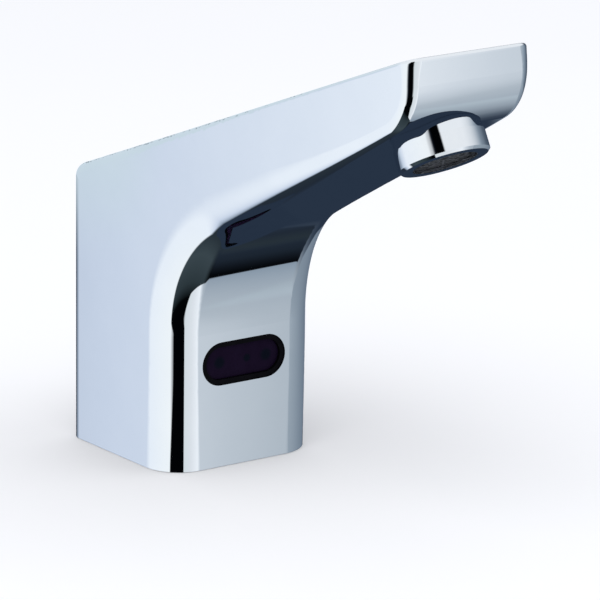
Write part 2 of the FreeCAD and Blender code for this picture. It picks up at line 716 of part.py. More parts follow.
def pillar_places():
    """Centres of the four base screws, two in the front corners and two in front of the battery,
    as expressions, with the way to the nearest wall."""
    corner = "(base_width / 2 - corner_radius)"
    swing = "((corner_radius - wall_thick - screw_inset) * sqrt(0.5))"
    front_x = f"({corner} + {swing})"
    front_y = f"(-base_depth / 2 + corner_radius - {swing})"
    back_y = "(cell_back - cell_gap - holder_wall - pillar_gap - pillar_radius)"
    back_x = f"({side_at(back_y, 'wall_thick')} - screw_inset)"
    return [(front_x, front_y, -45), (back_x, back_y, 0),
            (f"-{back_x}", back_y, 180), (f"-{front_x}", front_y, 225)]


def base_pillar(number, across, along, direction):
    """Pillar for a base screw and the web that ties it to the wall."""
    pillar = place(rod(f"pillar_{number}", "pillar_radius", "pillar_height"),
                   across, along, "plate_thick")
    web = doc.addObject("Part::Box", f"pillar_web_{number}")
    bind(web, Length="screw_inset + wall_thick / 2", Width="pillar_radius",
         Height="pillar_height")
    turn = FreeCAD.Rotation(UP, direction)
    offset = turn.multVec(FreeCAD.Vector(0, -0.5, 0))
    web.Placement = FreeCAD.Placement(FreeCAD.Vector(), turn)
    web.setExpression("Placement.Base.x", link(f"{across} + {offset.x} * pillar_radius"))
    web.setExpression("Placement.Base.y", link(f"{along} + {offset.y} * pillar_radius"))
    web.setExpression("Placement.Base.z", link("plate_thick"))
    return [pillar, web]


def facing_front(item, across, along, height):
    """Stands a Z-based object so that it points forward, along -Y."""
    item.Placement = FreeCAD.Placement(FreeCAD.Vector(), FreeCAD.Rotation(X_AXIS, 90))
    item.setExpression("Placement.Base.x", link(across))
    item.setExpression("Placement.Base.y", link(along))
    item.setExpression("Placement.Base.z", link(height))
    return item


VALVE_HEIGHT = "(rear_height - valve_drop)"
RISER_TOP = "(rear_height - valve_drop - riser_drop)"
VALVE_MIDDLE = "(-seat_forward - body_length / 2)"
WATERWAY = (f"(({VALVE_HEIGHT} - ({underside_at(VALVE_MIDDLE, '0')}))"
            f" * {cosine('underside_slope')})")
EAR_RISE = "(case_tall / 2 + ear_height / 2)"
WALL_FACE = "(-base_depth / 2 + wall_thick)"
CASE_FRONT = f"({WALL_FACE} + case_gap)"
EAR_FRONT = f"({CASE_FRONT} + ear_step)"

additions = [place(rod("outlet_boss", "boss_radius", "boss_height + wall_thick - 0.1"),
                   "0", f"-outlet_reach - boss_height * sin(underside_slope * 1 deg)",
                   f"{OUTLET[2]} - boss_height * {cosine('underside_slope')}",
                   "underside_slope")]
removals = [place(rod("outlet_bore", "thread_radius", "2 * boss_height + 2 * wall_thick"),
                  "0", f"-outlet_reach - 2 * boss_height * sin(underside_slope * 1 deg)",
                  f"{OUTLET[2]} - 2 * boss_height * {cosine('underside_slope')}",
                  "underside_slope")]
for number, (across, along, direction) in enumerate(pillar_places(), start=1):
    additions += base_pillar(number, across, along, direction)
    removals.append(place(rod(f"pillar_hole_{number}", "screw_radius",
                              f"pillar_height - pillar_end + {PAST}"),
                          across, along, f"plate_thick - {PAST}"))
for number, sign in ((1, "+"), (2, "-")):
    height = f"window_height {sign} {EAR_RISE}"
    additions.append(facing_front(rod(f"sensor_boss_{number}", "ear_boss",
                                      f"{EAR_FRONT} - {WALL_FACE} + wall_thick / 2"),
                                  "0", EAR_FRONT, height))
    removals.append(facing_front(rod(f"sensor_boss_hole_{number}", "screw_radius",
                                     f"{EAR_FRONT} - {WALL_FACE} + boss_sink + {PAST}"),
                                 "0", f"{EAR_FRONT} + {PAST}", height))
pad = new_body("window_pad")
pad_shape = new_sketch(pad, "XZ_Plane")
add_slot(pad_shape, "window_width + 2 * pad_margin", "window_tall + 2 * pad_margin")
pad_sketch(pad, pad_shape, "pad_thick + wall_thick / 2")
additions.append(place(pad, "0", f"{WALL_FACE} + pad_thick", "window_height"))
opening = new_body("window_opening")
opening_sketch = new_sketch(opening, "XZ_Plane")
add_slot(opening_sketch, "window_width", "window_tall")
pad_sketch(opening, opening_sketch, "2 * wall_thick")
place(opening, "0", f"{WALL_FACE} + wall_thick / 2", "window_height")
removals.append(opening)

casting = cut("casting_cut", joined("casting_fused", shell, *additions),
              joined("casting_removals", *removals))
keep(casting, "body_casting")


# ---------------------------------------------------------------- outlet

SEAM = "(-boss_height - seat_gap)"
RING_END = "(-boss_height - ring_height)"
NECK_TOP = "(-boss_height + neck_height)"
ELBOW_FOOT = f"({NECK_TOP} + washer_thick)"

housing = turned("aerator_housing", [
    ("lip_radius", RING_END), ("ring_radius - ring_chamfer", RING_END),
    ("ring_radius", f"{RING_END} + ring_chamfer"), ("ring_radius", SEAM),
    ("thread_radius - thread_gap", SEAM), ("thread_radius - thread_gap", NECK_TOP),
    ("insert_radius + thread_gap", NECK_TOP),
    ("insert_radius + thread_gap", f"{RING_END} + lip_height"),
    ("lip_radius", f"{RING_END} + lip_height")])
keep(place(housing, *OUTLET), "aerator_housing")

INSERT_FOOT = f"({RING_END} + lip_height + seat_gap)"
INSERT_SHELF = f"({INSERT_FOOT} + shelf_height)"
INSERT_TOP = f"({NECK_TOP} - insert_sink)"
insert_rim = turned("insert_rim", [
    ("insert_radius - insert_wall", INSERT_FOOT), ("insert_radius", INSERT_FOOT),
    ("insert_radius", INSERT_TOP), ("insert_radius - shelf_wall", INSERT_TOP),
    ("insert_radius - shelf_wall", INSERT_SHELF), ("insert_radius - insert_wall", INSERT_SHELF)])
insert_rings = [insert_rim]
for number in range(3):
    radius = f"(jet_ring + {number} * jet_pitch)"
    insert_rings.append(sleeve(f"insert_ring_{number + 1}", f"{radius} + rib_thick", radius,
                               INSERT_FOOT, f"{INSERT_FOOT} + rib_height"))
RIB_START = "(jet_ring + rib_thick / 2)"
for number in range(12):
    rib = doc.addObject("Part::Box", f"insert_rib_{number + 1}")
    bind(rib, Length=f"insert_radius - insert_wall / 2 - {RIB_START}", Width="rib_thick",
         Height="rib_height")
    turn = FreeCAD.Rotation(UP, 30 * number)
    offset = turn.multVec(FreeCAD.Vector(size(RIB_START), -size("rib_thick") / 2, 0))
    rib.Placement = FreeCAD.Placement(offset, turn)
    rib.setExpression("Placement.Base.z", link(INSERT_FOOT))
    insert_rings.append(rib)
keep(place(joined("insert_fused", *insert_rings), *OUTLET), "aerator_insert")

FLOW_FOOT = f"({INSERT_SHELF} + seat_gap)"
FLOW_EDGE = "(insert_radius - shelf_wall - thread_gap)"
flow_plate = turned("flow_plate", [
    ("0", FLOW_FOOT), (FLOW_EDGE, FLOW_FOOT),
    (FLOW_EDGE, f"{FLOW_FOOT} + flow_thick"), ("0", f"{FLOW_FOOT} + flow_thick")])
flow_sketch = new_sketch(flow_plate, "XY_Plane")
for radius, count in zip(("flow_inner", "flow_outer"), (6, 10)):
    for number in range(count):
        angle = 2 * math.pi * number / count
        add_circle(flow_sketch, f"{radius} * ({round(math.cos(angle), 6)})",
                   f"{radius} * ({round(math.sin(angle), 6)})", "flow_hole")
cut_sketch(flow_plate, flow_sketch, "4 * ring_height", middle=True)
keep(place(flow_plate, *OUTLET), "flow_plate")

keep(place(sleeve("aerator_washer", "thread_radius - 2 * thread_gap",
                  "insert_radius - insert_wall", NECK_TOP, ELBOW_FOOT), *OUTLET), "aerator_washer")

elbow = turned("outlet_elbow", [
    ("0", f"{ELBOW_FOOT} + elbow_height"), ("0", f"{WATERWAY} + elbow_roof"),
    ("elbow_bore", f"{WATERWAY} + elbow_roof"), ("elbow_bore", ELBOW_FOOT),
    ("elbow_radius", ELBOW_FOOT), ("elbow_radius", f"{ELBOW_FOOT} + elbow_height")])
elbow_entry = new_sketch(elbow, "XZ_Plane")
add_circle(elbow_entry, "0", WATERWAY, "tube_radius + seat_gap")
cut_sketch(elbow, elbow_entry, "2 * elbow_radius")
ELBOW_RING = "(elbow_radius - elbow_ring_inset)"
elbow_groove = new_sketch(elbow, "XZ_Plane")
elbow_groove.AttachmentOffset = FreeCAD.Placement(
    FreeCAD.Vector(0, 0, size(f"tube_groove_wide / 2 - {ELBOW_RING}")), FreeCAD.Rotation())
add_circle(elbow_groove, "0", WATERWAY, "tube_radius + tube_groove_deep")
cut_sketch(elbow, elbow_groove, "tube_groove_wide")
keep(place(elbow, *OUTLET), "outlet_elbow")


# ---------------------------------------------------------------- spout tube

ALONG_TILT = "(90 + underside_slope)"
RUN = (f"((outlet_reach - {WATERWAY} * {sine('underside_slope')} + {VALVE_MIDDLE})"
       f" / {cosine('underside_slope')})")


def water_way(offset):
    """Height and place along Y on the water way, offset from the outlet's axis."""
    return (f"(-outlet_reach + {WATERWAY} * {sine('underside_slope')}"
            f" + ({offset}) * {cosine('underside_slope')})",
            f"({OUTLET[2]} + {WATERWAY} * {cosine('underside_slope')}"
            f" - ({offset}) * {sine('underside_slope')})")


def place_along(item, offset):
    """Points a Z-based piece down the spout, on the water way."""
    return place(item, "0", *water_way(offset), ALONG_TILT)


keep(place_along(sleeve("spout_tube", "tube_radius", "tube_radius - tube_wall",
                        "elbow_bore + tube_stop", f"{RUN} - spigot_length + tube_entry"), "0"),
     "spout_tube")


# ---------------------------------------------------------------- base

def plate_outline(edge):
    """Corners of the base plate's outline, set in from the hollow by edge."""
    inset = f"(wall_thick + {edge})"
    front = f"(-base_depth / 2 + {inset})"
    back = f"(base_depth / 2 - {inset})"
    return [(f"{side_at(front, inset)}", front), (f"{side_at(back, inset)}", back),
            (f"-{side_at(back, inset)}", back), (f"-{side_at(front, inset)}", front)]


def plate_block(name, edge, length):
    """Upright prism on the base plate's outline, with its corners rounded."""
    body = new_body(name)
    sketch = new_sketch(body, "XY_Plane")
    add_polygon(sketch, plate_outline(edge))
    pad_sketch(body, sketch, length)
    round_edges(body, f"corner_radius - wall_thick - {edge}",
                lambda first, second, middle: upright(first, second, middle) and middle.y < 0)
    round_edges(body, "plate_corner",
                lambda first, second, middle: upright(first, second, middle) and middle.y > 0)
    return body


plate_additions = [place(plate_block("plate_upper", "plate_gap", "plate_thick - gasket_height"),
                         "0", "0", "gasket_height"),
                   plate_block("plate_lower", "(plate_gap + gasket_width)", "plate_thick / 2")]
plate_removals = []
for sign in ("", "-"):
    across = f"{sign}stud_spacing / 2"
    plate_additions.append(place(rod("stud_boss", "stud_boss", "plate_thick + stud_boss_height"),
                                 across, "-inlet_forward", "0"))
    plate_removals.append(place(rod("stud_bore", "stud_hole", "3 * plate_thick"),
                                across, "-inlet_forward", f"-{PAST}"))
plate_removals.append(place(rod("inlet_hole", "riser_root + seat_gap", "3 * plate_thick"),
                            "0", "-inlet_forward", f"-{PAST}"))
CELL_MIDDLE = "(cell_back + cell_depth / 2)"
under_screws = [(across, along) for across, along, direction in pillar_places()]
under_screws += [(f"{sign}holder_side", CELL_MIDDLE) for sign in ("", "-")]
for across, along in under_screws:
    plate_removals.append(place(rod("under_screw_hole", "screw_radius + head_gap",
                                    "3 * plate_thick"), across, along, f"-{PAST}"))
    plate_removals.append(place(rod("under_screw_sink", "screw_head + head_gap",
                                    f"head_sink + {PAST}"), across, along, f"-{PAST}"))
for sign in ("", "-"):
    plate_removals.append(place(rod("peg_pocket", "peg_radius + seat_gap", "2 * peg_depth"),
                                f"{sign}holder_side", CELL_MIDDLE,
                                "plate_thick - peg_depth - seat_gap"))
base_plate = cut("plate_cut", joined("plate_fused", *plate_additions),
                 joined("plate_removals", *plate_removals))
keep(base_plate, "base_plate")

gasket = cut("gasket_cut",
             plate_block("gasket_outer", "plate_gap", "gasket_height - seat_gap"),
             plate_block("gasket_inner", "(plate_gap + gasket_width - seat_gap)", "2 * gasket_height"))
keep(gasket, "base_gasket")


def screw(name, length):
    """Pan-head screw that points up, with its head's underside at z = 0."""
    body = turned(name, [("0", "-head_height"), ("screw_head - head_edge", "-head_height"),
                         ("screw_head", "-head_height + head_edge"), ("screw_head", "0"),
                         ("screw_radius - seat_gap", "0"),
                         ("screw_radius - seat_gap", f"{length} - screw_tip"),
                         ("screw_radius - screw_tip", length), ("0", length)])
    socket = new_sketch(body, "XY_Plane")
    add_polygon(socket, hexagon("screw_key"))
    cut_sketch(body, socket, "2 * (head_height - key_floor)", middle=True)
    return body


def hexagon(flats):
    """Corners of a hexagon from its width across flats."""
    corners = []
    for number in range(6):
        angle = math.radians(60 * number)
        corners.append((f"({round(math.cos(angle), 6)}) * {flats} / 2 / {cosine('30')}",
                        f"({round(math.sin(angle), 6)}) * {flats} / 2 / {cosine('30')}"))
    return corners


def screw_group(name, length, placements):
    """Node of equal screws."""
    return copies(name, screw(name + "_one", length), placements)


def pointing_up(across, along, height):
    return FreeCAD.Placement(FreeCAD.Vector(size(across), size(along), size(height)),
                             FreeCAD.Rotation())


screw_group("base_screws", "plate_thick + pillar_height / 2",
            [pointing_up(across, along, "head_sink")
             for across, along, direction in pillar_places()])


# ---------------------------------------------------------------- inlet and check valve

INLET = ("0", "-inlet_forward", "0")
GROOVES = (f"({RISER_TOP} - riser_groove_pitch)", f"({RISER_TOP} - 2 * riser_groove_pitch)")

riser_profile = [("inlet_thread", "0"), ("riser_root", "0"),
                 ("riser_root", "plate_thick + seat_gap"),
                 ("riser_radius", "plate_thick + seat_gap")]
for groove in reversed(GROOVES):
    groove_foot = f"{groove} - riser_groove_wide / 2"
    groove_head = f"{groove} + riser_groove_wide / 2"
    riser_profile += [("riser_radius", groove_foot), ("riser_radius - riser_groove_deep", groove_foot),
                      ("riser_radius - riser_groove_deep", groove_head), ("riser_radius", groove_head)]
riser_profile += [("riser_radius", f"{RISER_TOP} - riser_edge"), ("riser_radius - riser_edge", RISER_TOP),
                  ("riser_bore", RISER_TOP), ("riser_bore", "check_seat"),
                  ("check_bore", "check_seat"), ("check_bore", "thread_depth"),
                  ("inlet_thread", "thread_depth")]
riser_turned = turned("riser_turned", riser_profile)
riser_hex = new_body("riser_hex")
hex_sketch = new_sketch(riser_hex, "XY_Plane")
add_polygon(hex_sketch, hexagon("hex_flats"))
add_circle(hex_sketch, "0", "0", "(riser_radius + riser_bore) / 2")
pad_sketch(riser_hex, hex_sketch, "hex_height")
place(riser_hex, "0", "0", "plate_thick + seat_gap")
keep(place(joined("riser_fused", riser_turned, riser_hex), *INLET), "inlet_riser")

FILTER_EDGE = "(check_bore - seat_gap)"
FILTER_FOOT = "(thread_depth + filter_gap)"
FILTER_HEAD = "(check_seat - filter_top)"
SCREEN_FOOT = f"({FILTER_EDGE} - filter_step)"
SCREEN_HEAD = f"({SCREEN_FOOT} - filter_taper)"
keep(place(turned("inlet_filter", [
    (f"{SCREEN_FOOT} - filter_mesh", FILTER_FOOT), (FILTER_EDGE, FILTER_FOOT),
    (FILTER_EDGE, f"{FILTER_FOOT} + filter_rim"), (SCREEN_FOOT, f"{FILTER_FOOT} + filter_rim"),
    (SCREEN_HEAD, FILTER_HEAD), ("0", FILTER_HEAD), ("0", f"{FILTER_HEAD} - filter_mesh"),
    (f"{SCREEN_HEAD} - filter_mesh", f"{FILTER_HEAD} - filter_mesh")]), *INLET), "inlet_filter")


def ring(name, around, section):
    """O-ring about its own Z axis."""
    torus = doc.addObject("Part::Torus", name)
    bind(torus, Radius1=around, Radius2=section)
    return torus


o_ring = ring("riser_o_ring_one", "riser_radius + (seat_gap - riser_groove_deep) / 2",
              "o_ring_radius")
copies("riser_o_rings", o_ring, [pointing_up("0", "-inlet_forward", groove)
                                 for groove in GROOVES])

CAGE_TOP = "(check_seat + check_length)"
CHECK_FACE = "(check_seat + check_lip)"
CAGE_INSIDE = "(riser_bore - cage_wall)"
keep(place(turned("check_valve_cage", [
    ("check_hole", "check_seat + seat_gap"), ("riser_bore - seat_gap", "check_seat + seat_gap"),
    ("riser_bore - seat_gap", CAGE_TOP), (CAGE_INSIDE, CAGE_TOP),
    (CAGE_INSIDE, CHECK_FACE), ("check_hole", CHECK_FACE)]), *INLET), "check_valve_cage")

STEM_TOP = f"({CAGE_TOP} - stem_end)"
poppet = turned("check_valve_poppet", [
    ("0", f"{CHECK_FACE} + seat_gap"), ("poppet_radius", f"{CHECK_FACE} + seat_gap"),
    ("poppet_radius", f"{CHECK_FACE} + poppet_disc"), ("stem_radius", f"{CHECK_FACE} + poppet_tall"),
    ("stem_radius", STEM_TOP), ("0", STEM_TOP)])
keep(place(poppet, *INLET), "check_valve_poppet")

GUIDE_FOOT = f"({CAGE_TOP} - guide_thick)"
GUIDE_EDGE = f"({CAGE_INSIDE} - seat_gap)"
ARM_START = "((guide_hub + stem_radius) / 2)"
hub = sleeve("guide_hub_turned", "guide_hub", "stem_radius + slide_gap", GUIDE_FOOT, CAGE_TOP)
rim = sleeve("guide_rim_turned", GUIDE_EDGE, f"{GUIDE_EDGE} - guide_rim", GUIDE_FOOT, CAGE_TOP)
guide_arms = [hub, rim]
for number in range(3):
    turn = FreeCAD.Rotation(UP, 120 * number)
    arm = doc.addObject("Part::Box", f"guide_arm_{number + 1}")
    bind(arm, Length=f"{GUIDE_EDGE} - guide_rim / 2 - {ARM_START}", Width="guide_arm",
         Height="guide_thick")
    offset = FreeCAD.Vector(size(ARM_START), -size("guide_arm") / 2, 0)
    arm.Placement = FreeCAD.Placement(turn.multVec(offset), turn)
    arm.setExpression("Placement.Base.z", link(GUIDE_FOOT))
    guide_arms.append(arm)
keep(place(joined("guide_fused", *guide_arms), *INLET), "check_valve_guide")


def spring(name, mean, wire, length, turns):
    """Helical spring that stands on its own origin."""
    height = size(length) - 2 * size(wire)
    helix = Part.makeHelix(height / turns, height, size(mean))
    helix.translate(FreeCAD.Vector(0, 0, size(wire)))
    section = Part.Wire([Part.Circle(FreeCAD.Vector(size(mean), 0, size(wire)),
                                     FreeCAD.Vector(0, 1, 0), size(wire)).toShape()])
    coil = doc.addObject("Part::Feature", name)
    coil.Shape = Part.Wire(helix.Edges).makePipeShell([section], True, True)
    return coil


CHECK_SPRING_FOOT = f"({CHECK_FACE} + poppet_tall + spring_gap)"
check_spring = spring("check_valve_spring", "check_coil", "check_wire",
                      f"{GUIDE_FOOT} - spring_gap - {CHECK_SPRING_FOOT}", 4)
check_spring.Placement = pointing_up("0", "-inlet_forward", CHECK_SPRING_FOOT)
keep(check_spring, "check_valve_spring")


# ---------------------------------------------------------------- valve and solenoid

VALVE = ("0", "-seat_forward", VALVE_HEIGHT)
AXIS_TILT = "90"


def place_valve(item):
    """Turns a Z-based piece so that it points to the back, on the valve's axis."""
    return place(item, *VALVE, AXIS_TILT)


valve_turned = place_valve(turned("valve_turned", [
    ("0", "-body_length"), ("valve_radius - valve_edge", "-body_length"),
    ("valve_radius", "-body_length + valve_edge"), ("valve_radius", "0"), ("chamber_radius", "0"),
    ("chamber_radius", "-chamber_depth"), ("seat_rim", "-chamber_depth"), ("seat_rim", "0"),
    ("seat_hole", "0"), ("seat_hole", "-body_length + body_front"),
    ("0", "-body_length + body_front")]))
SOCKET_TOP = f"({RISER_TOP} + socket_roof)"
socket = place(rod("riser_socket", "socket_radius", f"{SOCKET_TOP} - ({RISER_TOP} - socket_depth)"),
               "0", "-inlet_forward", f"{RISER_TOP} - socket_depth")
neck = block("valve_neck_block", "-valve_neck / 2", "valve_neck / 2",
             "-seat_forward - body_length", "-seat_forward - neck_step",
             f"{RISER_TOP} + neck_step", f"{VALVE_HEIGHT} - chamber_radius - chamber_wall")
SPIGOT_MOUTH = f"({RUN} - spigot_length)"
spigot = place_along(rod("outlet_spigot", "spigot_radius", "spigot_length - spigot_root"),
                     SPIGOT_MOUTH)
valve_cuts = [
    place(rod("riser_entry", "riser_radius + seat_gap", "socket_depth + 2 * seat_gap"),
          "0", "-inlet_forward", f"{RISER_TOP} - socket_depth - seat_gap"),
    place(rod("chamber_entry", "feed_radius",
              f"{VALVE_HEIGHT} - chamber_radius - {RISER_TOP} + 2 * {PAST}"),
          "0", "-seat_forward - feed_forward", f"{RISER_TOP} - {PAST}"),
    place_along(rod("spigot_bore", "tube_radius - tube_wall", "spigot_length"), SPIGOT_MOUTH),
    place_along(rod("spigot_entry", "tube_radius + seat_gap",
                    f"tube_entry + 2 * seat_gap + {PAST}"), f"{SPIGOT_MOUTH} - {PAST}"),
    place_along(rod("spigot_groove", "tube_radius + tube_groove_deep", "tube_groove_wide"),
                f"{SPIGOT_MOUTH} + spigot_ring_inset - tube_groove_wide / 2")]
for number in range(4):
    angle = math.radians(45 + 90 * number)
    hole = rod(f"valve_screw_hole_{number + 1}", "screw_radius",
               f"body_length - screw_end + {PAST}")
    hole.Placement = FreeCAD.Placement(
        FreeCAD.Vector(size("valve_screw_ring") * math.cos(angle), size(f"-seat_forward + {PAST}"),
                       size(VALVE_HEIGHT) + size("valve_screw_ring") * math.sin(angle)),
        FreeCAD.Rotation(X_AXIS, 90))
    valve_cuts.append(hole)
valve_body = cut("valve_cut", joined("valve_fused", valve_turned, socket, neck, spigot),
                 joined("valve_cuts", *valve_cuts))
keep(valve_body, "valve_body")

keep(place_valve(sleeve("valve_diaphragm", "diaphragm_radius", "diaphragm_hole", "seat_gap",
                        "diaphragm_thick")), "valve_diaphragm")
PLATE_BACK = "(diaphragm_thick + plate_rise)"
PILOT_RIM = "(pilot_hole + pilot_wall)"
keep(place_valve(turned("diaphragm_plate", [
    ("pilot_hole", "-plate_foot_end"), ("plate_foot - plate_foot_edge", "-plate_foot_end"),
    ("plate_foot", "-plate_foot_end + plate_foot_edge"), ("plate_foot", "-plate_foot_start"),
    ("plate_neck", "-plate_foot_start"), ("plate_neck", "diaphragm_thick + seat_gap"),
    ("plate_disc", "diaphragm_thick + seat_gap"), ("plate_disc", PLATE_BACK),
    (f"{PILOT_RIM} + pilot_flare", PLATE_BACK), (PILOT_RIM, "plunger_start - seat_gap"),
    ("pilot_hole", "plunger_start - seat_gap")])), "diaphragm_plate")

bonnet_body = turned("valve_bonnet", [
    ("diaphragm_radius + diaphragm_gap", "seat_gap"), ("valve_radius", "seat_gap"),
    ("valve_radius", "bonnet_length - valve_edge"), ("valve_radius - valve_edge", "bonnet_length"),
    ("core_radius + seat_gap", "bonnet_length"), ("core_radius + seat_gap", "pilot_depth"),
    ("pilot_radius", "pilot_depth"), ("pilot_radius", "diaphragm_thick + seat_gap"),
    ("diaphragm_radius + diaphragm_gap", "diaphragm_thick + seat_gap")])
bonnet_holes = new_sketch(bonnet_body, "XY_Plane")
for number in range(4):
    angle = math.radians(45 + 90 * number)
    add_circle(bonnet_holes, f"valve_screw_ring * ({round(math.cos(angle), 6)})",
               f"valve_screw_ring * ({round(math.sin(angle), 6)})", "screw_radius + hole_gap")
cut_sketch(bonnet_body, bonnet_holes, "4 * bonnet_length", middle=True)
keep(place_valve(bonnet_body), "valve_bonnet")

valve_screw_places = []
for number in range(4):
    angle = math.radians(45 + 90 * number)
    spot = FreeCAD.Vector(size("valve_screw_ring") * math.cos(angle),
                          size("-seat_forward + bonnet_length"),
                          size(VALVE_HEIGHT) + size("valve_screw_ring") * math.sin(angle))
    valve_screw_places.append(FreeCAD.Placement(spot, FreeCAD.Rotation(X_AXIS, 90)))
screw_group("valve_screws", "bonnet_length + valve_screw_bite", valve_screw_places)

COIL_END = "(coil_start + coil_length)"
CORE_END = f"({COIL_END} + 2 * seat_gap)"
CORE_INSIDE = "(core_radius - core_wall)"
FLANGE_BACK = "(pilot_depth - seat_gap)"
FLANGE_FRONT = f"({FLANGE_BACK} - flange_thick)"
STUB_END = f"({CORE_END} + yoke_thick + nut_height + stub_end)"
POLE_FACE = "(plunger_end + pole_gap)"
keep(place_valve(turned("core_tube", [
    (CORE_INSIDE, FLANGE_FRONT), ("core_flange", FLANGE_FRONT), ("core_flange", FLANGE_BACK),
    ("core_radius", FLANGE_BACK), ("core_radius", CORE_END), ("stub_radius", CORE_END),
    ("stub_radius", STUB_END), ("0", STUB_END), ("0", POLE_FACE), (CORE_INSIDE, POLE_FACE)])),
    "core_tube")

BARREL = "(core_radius + seat_gap + bobbin_wall)"
FLANGE_INNER = "(coil_start + bobbin_flange)"
FLANGE_OUTER = f"({COIL_END} - bobbin_flange)"
keep(place_valve(turned("coil_bobbin", [
    ("core_radius + seat_gap", "coil_start"), ("coil_radius", "coil_start"),
    ("coil_radius", FLANGE_INNER), (BARREL, FLANGE_INNER), (BARREL, FLANGE_OUTER),
    ("coil_radius", FLANGE_OUTER), ("coil_radius", COIL_END),
    ("core_radius + seat_gap", COIL_END)])), "coil_bobbin")
keep(place_valve(sleeve("coil_winding", "coil_radius - winding_inset", f"{BARREL} + seat_gap",
                        f"{FLANGE_INNER} + seat_gap", f"{FLANGE_OUTER} - seat_gap")), "coil_winding")

YOKE_FRONT = "(coil_start - seat_gap - yoke_thick)"
YOKE_BACK = f"({CORE_END} + seat_gap)"
YOKE_SIDE = "(coil_radius + yoke_gap)"
YOKE_TOP = "(coil_radius - yoke_short)"
yoke = new_body("coil_yoke")
yoke_sketch = new_sketch(yoke, "YZ_Plane")
add_polygon(yoke_sketch, [
    (f"-{YOKE_SIDE} - yoke_thick", YOKE_FRONT), (YOKE_TOP, YOKE_FRONT),
    (YOKE_TOP, f"{YOKE_FRONT} + yoke_thick"), (f"-{YOKE_SIDE}", f"{YOKE_FRONT} + yoke_thick"),
    (f"-{YOKE_SIDE}", YOKE_BACK), (YOKE_TOP, YOKE_BACK), (YOKE_TOP, f"{YOKE_BACK} + yoke_thick"),
    (f"-{YOKE_SIDE} - yoke_thick", f"{YOKE_BACK} + yoke_thick")])
pad_sketch(yoke, yoke_sketch, "yoke_width", middle=True)
yoke_hole = new_sketch(yoke, "XY_Plane")
add_circle(yoke_hole, "0", "0", "core_radius + seat_gap")
cut_sketch(yoke, yoke_hole, "6 * coil_length", middle=True)
keep(place_valve(yoke), "coil_yoke")

nut = new_body("core_nut")
nut_sketch = new_sketch(nut, "XY_Plane")
add_polygon(nut_sketch, hexagon("nut_flats"))
add_circle(nut_sketch, "0", "0", "stub_radius + seat_gap")
pad_sketch(nut, nut_sketch, "nut_height")
NUT_FRONT = f"({YOKE_BACK} + yoke_thick + seat_gap)"
place(nut, "0", f"-seat_forward + {NUT_FRONT}", VALVE_HEIGHT, AXIS_TILT)
keep(nut, "core_nut")

SEAL_END = "(plunger_start + seal_length)"
PLUNGER_FACE = "(plunger_start + seal_out)"
PLUNGER_SIDE = f"({CORE_INSIDE} - slide_gap)"
SPRING_FLOOR = "(plunger_end - spring_bore_depth)"
keep(place_valve(turned("solenoid_plunger", [
    ("seal_radius + hole_gap", PLUNGER_FACE), ("nose_radius", PLUNGER_FACE),
    (PLUNGER_SIDE, f"{PLUNGER_FACE} + nose_length"), (PLUNGER_SIDE, "plunger_end"),
    ("spring_bore", "plunger_end"), ("spring_bore", SPRING_FLOOR), ("0", SPRING_FLOOR),
    ("0", f"{SEAL_END} + seat_gap"), ("seal_radius + hole_gap", f"{SEAL_END} + seat_gap")])),
    "solenoid_plunger")
keep(place_valve(turned("pilot_seal", [
    ("0", "plunger_start"), ("seal_radius", "plunger_start"), ("seal_radius", SEAL_END),
    ("0", SEAL_END)])), "pilot_seal")
PLUNGER_SPRING_FOOT = f"({SPRING_FLOOR} + spring_gap)"
plunger_spring = spring("plunger_spring", "plunger_coil", "plunger_wire",
                        f"{POLE_FACE} - spring_gap - {PLUNGER_SPRING_FOOT}", 5)
plunger_spring.Placement = FreeCAD.Placement(
    FreeCAD.Vector(0, size(f"-seat_forward + {PLUNGER_SPRING_FOOT}"), size(VALVE_HEIGHT)),
    FreeCAD.Rotation(X_AXIS, -90))
keep(plunger_spring, "plunger_spring")

tube_ring = ring("tube_o_ring_one", "tube_radius + tube_groove_deep / 2", "o_ring_radius")
ring_places = []
for offset in (f"{SPIGOT_MOUTH} + spigot_ring_inset", ELBOW_RING):
    along, height = water_way(offset)
    ring_places.append(FreeCAD.Placement(FreeCAD.Vector(0, size(along), size(height)),
                                         FreeCAD.Rotation(-X_AXIS, size(ALONG_TILT))))
copies("tube_o_rings", tube_ring, ring_places)


# ---------------------------------------------------------------- sensor

CASE_BACK = f"({CASE_FRONT} + case_depth)"
NOSE_FRONT = "(-base_depth / 2 + bezel_recess)"
LENS_FRONT = f"({NOSE_FRONT} + lens_recess)"
LENS_BACK = f"({LENS_FRONT} + lens_thick)"
NOSE_WIDTH = "(window_width - 2 * nose_gap)"
NOSE_TALL = "(window_tall - 2 * nose_gap)"


def slot_block(name, back, front, width, tall, hole_width=None, hole_tall=None):
    """Round-ended block between two places along Y, with an optional opening through it."""
    body = new_body(name)
    sketch = new_sketch(body, "XZ_Plane")
    add_slot(sketch, width, tall)
    if hole_width is not None:
        add_slot(sketch, hole_width, hole_tall)
    pad_sketch(body, sketch, f"{back} - {front}")
    return place(body, "0", back, "window_height")


